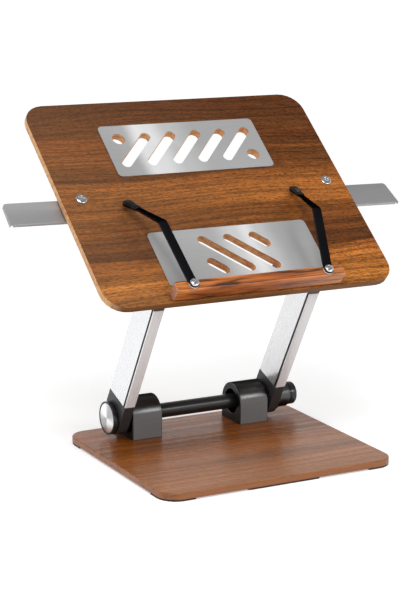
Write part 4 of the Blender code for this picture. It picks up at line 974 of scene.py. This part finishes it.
def strip_rings():
    """Section (across, off) at each path point: across on X, off along the path's normal."""
    path, tip, fall = strip_path()
    ahead = np.gradient(path, axis=0)
    ahead /= np.linalg.norm(ahead, axis=1, keepdims=True)
    normal = np.column_stack([-ahead[:, 1], ahead[:, 0]])
    half = CLIP_WIDTH / 2
    heel = 1 - (np.minimum(path[:, 0], 0) / half) ** 2
    share = np.sqrt(np.clip(heel, HEEL_LEAST_SHARE, 1))
    share = share * np.interp(path[:, 0], [TO_BEND, TO_BEND + TO_TIP],
                              [1, TIP_WIDTH / CLIP_WIDTH])
    section = rounded_loop(CLIP_WIDTH, CLIP_THICK, CLIP_SOFT, 0, 4)
    across = section[:, 0][None] * share[:, None]
    along = path[:, 0][:, None] + section[:, 1][None] * normal[:, 0][:, None]
    out = path[:, 1][:, None] + section[:, 1][None] * normal[:, 1][:, None]
    return np.stack([across, along, out + CLIP_THICK / 2], axis=-1), tip, fall


# %% [markdown]
# ### The rubber boot
#
# The boot is moulded: a thin mouth, a collar with a groove round it, then a body that swells to
# a head.  Its section lies between an ellipse and a rectangle, which a power of the sine and
# the cosine gives.

# %% The boot
BOOT_LONG, HEAD_HALF, HEAD_HALF_THICK = 27 * MM, 6.8 * MM, 3.4 * MM
NECK_HALF, NECK_HALF_THICK, NECK_GROOVE = 5.2 * MM, 2.6 * MM, 0.6 * MM
GROOVE_START, GROOVE_END, COLLAR_END = 3.3 * MM, 4.7 * MM, 5 * MM
COLLAR = np.array([0, 0, 0.3, 1.0, 2.4, 3.1, 3.4, 3.6, 4.4, 4.6, 5.0]) * MM
MOUTH = np.array([2.2, 0.6, 0.2]) * MM
BODY_FROM = 5.8 * MM
ROUNDNESS, CLOSED_SHARE = 0.6, 0.9995           # 1 is an ellipse, 0 a rectangle


def boot_rings():
    """Section at s from mouth to tip: w(s) sgn(cos)|cos|^0.6 across, t(s) sgn(sin)|sin|^0.6 off.

    The half width w grows from the neck to the head and ends in a circle's arc; a collar and a
    groove circle the neck.  The half thickness t does the same in side view.
    """
    body_end = BOOT_LONG - HEAD_HALF
    s = np.concatenate([COLLAR, np.linspace(BODY_FROM, body_end, 16)[:-1],
                        body_end + HEAD_HALF * np.sin(np.linspace(0, math.pi / 2, 16))])
    grow = smooth((s - COLLAR_END) / (body_end - COLLAR_END))
    wide = NECK_HALF + (HEAD_HALF - NECK_HALF) * grow
    deep = NECK_HALF_THICK + (HEAD_HALF_THICK - NECK_HALF_THICK) * grow
    groove = np.where((s > GROOVE_START) & (s < GROOVE_END), NECK_GROOVE, 0)
    groove[:3] = MOUTH
    past = np.clip((s - body_end) / HEAD_HALF, 0, CLOSED_SHARE)
    close = np.clip((s - (BOOT_LONG - HEAD_HALF_THICK)) / HEAD_HALF_THICK, 0, CLOSED_SHARE)
    wide = (wide - groove) * np.sqrt(1 - past ** 2)
    deep = (deep - groove) * np.sqrt(1 - close ** 2)
    angle = np.arange(40) * 2 * math.pi / 40
    across = np.sign(np.cos(angle)) * np.abs(np.cos(angle)) ** ROUNDNESS
    off = np.sign(np.sin(angle)) * np.abs(np.sin(angle)) ** ROUNDNESS
    return np.stack([wide[:, None] * across, (s - BOOT_LONG)[:, None] + 0 * across,
                     deep[:, None] * off], axis=-1)


# %% Clips with their boots
STRIP, TIP, FALL = strip_rings()
CLIPS = (("left", -1, math.radians(11.2)), ("right", 1, math.radians(-8.9)))
CLIP_FRAMES = {}
for word, side, swing in CLIPS:
    axes = turn_z(swing) @ TRAY_AXES
    origin = TRAY_ORIGIN + np.array([side * CLIP_SIDE, CLIP_UP, CLIP_SEAT]) @ TRAY_AXES
    CLIP_FRAMES[word] = (origin, axes)
    strip = ring_mesh("clip_strip_%s_fine" % word, STRIP @ axes + origin)
    seat(strip, "clip_strip_" + word, STRIP_BLACK)
    boot = boot_rings() @ turn_x(-FALL) + [0, TIP[0], TIP[1] + CLIP_THICK / 2]
    seat(ring_mesh("clip_boot_%s_fine" % word, boot @ axes + origin), "clip_boot_" + word,
         BOOT_RUBBER)
print("clip falls at", round(math.degrees(FALL), 1), "degrees to the page")

# %% [markdown]
# ## Screws
#
# A screw head is a low dome with a cross cut into it.  On a polar grid its height is the dome
# less the cross: a smooth step that is deep where a point lies near either arm of the cross and
# close enough to the middle.

# %% Crossed screw heads
RIM_SHARE, POINT_SHARE = 0.28, 0.10              # of the head's height, of the shank's radius
CROSS_HALF_SHARE, CROSS_SOFT_SHARE = 0.145, 0.07      # of the head's radius
CROSS_REACH_SHARE, REACH_SOFT_SHARE = 0.60, 0.14
CROSS_DEEP_SHARE = 0.62                          # of the head's height
MIDDLE_SHARE, FIRST_SHARE, LAST_SHARE = 0.03, 0.10, 0.97    # rings across the head


def screw_rings(head, height, shank, length, sink=False):
    """Height = dome(r) - cut(x, y); below the rim the head closes to the shank and its point."""
    steps = 72
    angle = np.arange(steps) * 2 * math.pi / steps
    share = np.concatenate([[MIDDLE_SHARE], np.linspace(FIRST_SHARE, LAST_SHARE, 24),
                            [1]])[:, None]
    x, y = share * np.cos(angle), share * np.sin(angle)
    bulge = 0 if sink else RIM_SHARE + (1 - RIM_SHARE) * np.sqrt(1 - (share * LAST_SHARE) ** 2)
    dome = height * bulge + 0 * x
    arm = smooth((CROSS_HALF_SHARE - np.minimum(np.abs(x), np.abs(y))) / CROSS_SOFT_SHARE)
    reach = smooth((CROSS_REACH_SHARE - share) / REACH_SOFT_SHARE)
    cut = CROSS_DEEP_SHARE * height * arm * reach
    rings = [np.stack([head * x, head * y, dome - cut], axis=-1)]
    point = (shank * POINT_SHARE, -length)
    if sink:
        below = [(shank, -height), (shank, shank - length), point]
    else:
        below = [(head, 0), (shank, 0), (shank, -length), point]
    for radius, level in below:
        loop = np.stack([radius * np.cos(angle), radius * np.sin(angle),
                         np.full(steps, level)], axis=-1)
        rings.append(loop[None])
    return np.concatenate(rings)


def put_screw(node, origin, axes, *sizes, **kind):
    """A screw at an origin, its head along the third axis of a frame."""
    rings = screw_rings(*sizes, **kind) @ axes + origin
    seat(ring_mesh(node + "_fine", rings, sharp=50), node, BRIGHT)


# %% Screws in their places
FLIP = np.diag([1, -1, -1])          # for screws that are driven in from behind or below
# Radius and height of the head, radius of the shank, length under the head
CLIP_SCREW = (5.5 * MM, 3.2 * MM, 2.1 * MM, 15.5 * MM)
TRAY_BOLT = (7 * MM, 2.6 * MM, 2 * MM, 11.4 * MM)
LEDGE_SCREW = (4 * MM, 2.2 * MM, 1.8 * MM, 20.9 * MM)
FOOT_SCREW = (4 * MM, 2.2 * MM, 1.8 * MM, 11.6 * MM)
BASE_SCREW = (4.3 * MM, 2.4 * MM, 2.2 * MM, 20.5 * MM)
CLIP_WASHER, WASHER_BORE, CLIP_WASHER_THICK = 6.4 * MM, 2.4 * MM, 1 * MM
BOLT_SIDE, BOLT_UP, TRAY_THICK = 174 * MM, 168 * MM, 9.3 * MM
LEDGE_SCREW_SIDE = 70 * MM
FOOT_SIDE, FOOT_ROW, FOOT_OUT = 81 * MM, 24.5 * MM, 20.6 * MM
BASE_SIDE, BASE_ROW = 78 * MM, 19.7 * MM
for word, side, swing in CLIPS:
    origin, axes = CLIP_FRAMES[word]
    under_head = CLIP_THICK + SEAT_GAP
    put_screw("clip_screw_" + word, origin + under_head * axes[2], turn_z(0.4) @ axes,
              *CLIP_SCREW)
    washer = ring_profile(CLIP_WASHER_THICK, CLIP_WASHER, WASHER_BORE, 0.3 * MM)
    radius, level = washer[:, 1][:, None], washer[:, 0][:, None] - CLIP_WASHER_THICK - SEAT_GAP
    angle = np.arange(48) * 2 * math.pi / 48
    rings = np.stack([radius * np.cos(angle), radius * np.sin(angle), level + 0 * angle], axis=-1)
    seat(ring_mesh("clip_washer_%s_fine" % word, rings @ axes + origin, hollow=True),
         "clip_washer_" + word, NYLON)
    bolt = TRAY_ORIGIN + np.array([side * BOLT_SIDE, BOLT_UP, SEAT_GAP]) @ TRAY_AXES
    put_screw("tray_bolt_" + word, bolt, turn_z(0.3 * side) @ TRAY_AXES, *TRAY_BOLT)
    behind = np.array([side * LEDGE_SCREW_SIDE, CLIP_UP, -TRAY_THICK - SEAT_GAP])
    put_screw("ledge_screw_" + word, TRAY_ORIGIN + behind @ TRAY_AXES,
              turn_z(0.5) @ FLIP @ TRAY_AXES, *LEDGE_SCREW)
    for level, row in (("low", -1), ("high", 1)):
        spot = UPPER_AXIS + np.array([side * FOOT_SIDE, row * FOOT_ROW, FOOT_OUT]) @ TRAY_AXES
        put_screw("tray_block_screw_%s_%s" % (word, level), spot,
                  turn_z(0.2 * row) @ FLIP @ TRAY_AXES, *FOOT_SCREW)
    for end, row in (("front", -1), ("back", 1)):
        spot = np.array([side * BASE_SIDE, LOWER_AXIS[1] + row * BASE_ROW, PAD_HIGH])
        put_screw("block_screw_%s_%s" % (word, end), spot, turn_z(0.3 * row) @ FLIP,
                  *BASE_SCREW, sink=True)
print("pieces so far:", len(MADE))

# %% [markdown]
# ## Side bars, rail and pads
#
# The folded sheet keeps its true shape and only gets broken edges.  The pads under the base are
# hardly seen, and keep their solids with a rubber finish.

# %% Folded sheet and pads
for node in ("side_bar_left", "side_bar_right", "bar_rail"):
    seat(refined(node), node, BAR_STEEL)
for name, solid in frame["nodes"].items():
    if name.startswith("pad_"):
        solid.data.materials.clear()
        solid.data.materials.append(PAD_RUBBER)
print("all pieces:", len(MADE))

# %% [markdown]
# ## Studio
#
# The photo has a pure white ground, soft light from above and a faint shadow.  World and floor
# are white to the camera, and the floor keeps the shadow.  In reflections both are white too,
# but satin black and steel show a dark studio ceiling in the photo, so high up the reflected
# world turns darker.

# %% World and floor
SOFT_LIGHT, CEILING = 0.62, 0.30
CEILING_FROM, CEILING_TO = 0.30, 0.62           # heights on a sky of radius one
FLOOR_HALF, FLOOR_GREY = 9, 0.86
NEAR_LIFT, FAR_LIFT, LIFT_FROM, LIFT_TO = 0.34, 0.51, 1, 4


def in_sight(tree):
    """One where a ray comes from the camera, a reflection or a clear material, else zero."""
    path = add(tree, "ShaderNodeLightPath")
    seen = add(tree, "ShaderNodeMath", {"operation": "MAXIMUM"},
               n0=path.outputs["Is Camera Ray"], n1=path.outputs["Is Glossy Ray"])
    return path, add(tree, "ShaderNodeMath", {"operation": "MAXIMUM"}, n0=seen.outputs[0],
                     n1=path.outputs["Is Transmission Ray"]).outputs[0]


def studio_world():
    """White to the camera, white with a dark ceiling to reflections, else a soft even light."""
    world = bpy.data.worlds.new("studio")
    world.use_nodes = True
    tree = world.node_tree
    tree.nodes.clear()
    path, shown = in_sight(tree)
    height = add(tree, "ShaderNodeSeparateXYZ", n0=add(
        tree, "ShaderNodeTexCoord").outputs["Generated"]).outputs[2]
    ceiling = ramp(tree, height, [(CEILING_FROM, grey(1)), (CEILING_TO, grey(CEILING))])
    above = mixed(tree, "MIX", path.outputs["Is Camera Ray"], ceiling, grey(1))
    soft = add(tree, "ShaderNodeBackground", Color=grey(1), Strength=SOFT_LIGHT)
    seen = add(tree, "ShaderNodeBackground", Color=above, Strength=1)
    mix = add(tree, "ShaderNodeMixShader", n0=shown, n1=soft.outputs[0], n2=seen.outputs[0])
    add(tree, "ShaderNodeOutputWorld", n0=mix.outputs[0])
    bpy.context.scene.world = world
    return world


def pale_floor():
    """A large square lifted by a little light wherever it is seen, more where lamps are far."""
    look, tree, shader = begin("pale_floor")
    shader.inputs["Base Color"].default_value = grey(FLOOR_GREY)
    shader.inputs["Roughness"].default_value = 0.9
    shader.inputs["Specular IOR Level"].default_value = 0
    away = add(tree, "ShaderNodeVectorMath", {"operation": "LENGTH"}, n0=add(
        tree, "ShaderNodeTexCoord").outputs["Object"]).outputs["Value"]
    more = add(tree, "ShaderNodeMapRange", n0=away, n1=LIFT_FROM, n2=LIFT_TO, n3=NEAR_LIFT,
               n4=FAR_LIFT)
    lift = add(tree, "ShaderNodeEmission", Color=grey(1), Strength=more.outputs[0])
    both = add(tree, "ShaderNodeAddShader", n0=shader.outputs[0], n1=lift.outputs[0])
    mix = add(tree, "ShaderNodeMixShader", n0=in_sight(tree)[1], n1=shader.outputs[0],
              n2=both.outputs[0])
    tree.links.new(mix.outputs[0], tree.nodes["Material Output"].inputs["Surface"])
    corners = FLOOR_HALF * np.array([[-1, -1, 0], [1, -1, 0], [1, 1, 0], [-1, 1, 0]])
    mesh = bpy.data.meshes.new("floor")
    mesh.from_pydata(corners.tolist(), [], [[0, 1, 2, 3]])
    mesh.materials.append(look)
    floor = bpy.data.objects.new("floor", mesh)
    bpy.context.scene.collection.objects.link(floor)
    return floor


studio_world()
pale_floor()
print("world and floor:", SOFT_LIGHT, "soft light")


# %% [markdown]
# ## Lamps
#
# A high lamp on the left gives the tray its light and the faint shadow.  One low on the right
# opens the blocks and knuckles, and one behind lights the edges and the back.  All are large,
# so no shadow is hard, and weak enough that a pale surface doesn't burn out.

# %% Lamps
def soft_lamp(name, place, aim, width, height, power):
    """A rectangular lamp in metres and watts that looks from its place at its aim."""
    data = bpy.data.lights.new(name, "AREA")
    data.shape = "RECTANGLE"
    data.size, data.size_y, data.energy = width, height, power
    lamp = bpy.data.objects.new(name, data)
    bpy.context.scene.collection.objects.link(lamp)
    away = np.array(aim, float) - np.array(place, float)
    away /= np.linalg.norm(away)
    side = np.cross(away, [0, 0, 1])
    side /= np.linalg.norm(side)
    up = np.cross(side, away)
    basis = np.eye(4)
    basis[:3, 0], basis[:3, 1], basis[:3, 2], basis[:3, 3] = side, up, -away, place
    lamp.matrix_world = Matrix(basis)
    return lamp


soft_lamp("key", (-0.6, -0.9, 1.9), (0, 0, 0.2), 1.0, 0.8, 16.0)
soft_lamp("front", (1.05, -1.75, 1.05), (0, 0, 0.1), 0.7, 0.5, 8.0)
soft_lamp("back", (-1.0, 1.4, 1.6), (0, 0, 0.2), 1.4, 0.8, 6.0)
print("lamps: key, front, back")

# %% [markdown]
# ## Camera
#
# The camera stands where the photographer stood: a long lens to the left of the stand and a
# little above it.  Its place and turn were found from the straight edges of the boards.

# %% Camera
YAW, PITCH, ROLL = math.radians(29.19), math.radians(13.11), math.radians(-0.971)
CAMERA_LEFT, CAMERA_FRONT, CAMERA_HIGH = -1.1028, -1.8958, 0.7061
LENS, SENSOR, FAR_END = 109.62, 36, 20
ahead = np.array([math.sin(YAW) * math.cos(PITCH), math.cos(YAW) * math.cos(PITCH),
                  -math.sin(PITCH)])
right = np.array([math.cos(YAW), -math.sin(YAW), 0])
down = np.cross(ahead, right)
turned_right = math.cos(ROLL) * right + math.sin(ROLL) * down
turned_down = -math.sin(ROLL) * right + math.cos(ROLL) * down
lens = bpy.data.cameras.new("camera")
lens.sensor_width = SENSOR
lens.lens = LENS
lens.clip_end = FAR_END
camera = bpy.data.objects.new("camera", lens)
bpy.context.scene.collection.objects.link(camera)
basis = np.eye(4)
basis[:3, 0], basis[:3, 1], basis[:3, 2] = turned_right, -turned_down, -ahead
basis[:3, 3] = [CAMERA_LEFT, CAMERA_FRONT + SHIFT, CAMERA_HIGH]
camera.matrix_world = Matrix(basis)
bpy.context.scene.camera = camera
bpy.context.scene.view_settings.view_transform = "Standard"
print("camera at", basis[:3, 3].round(3), "lens", LENS)

# %% The end
bpy.context.view_layer.update()
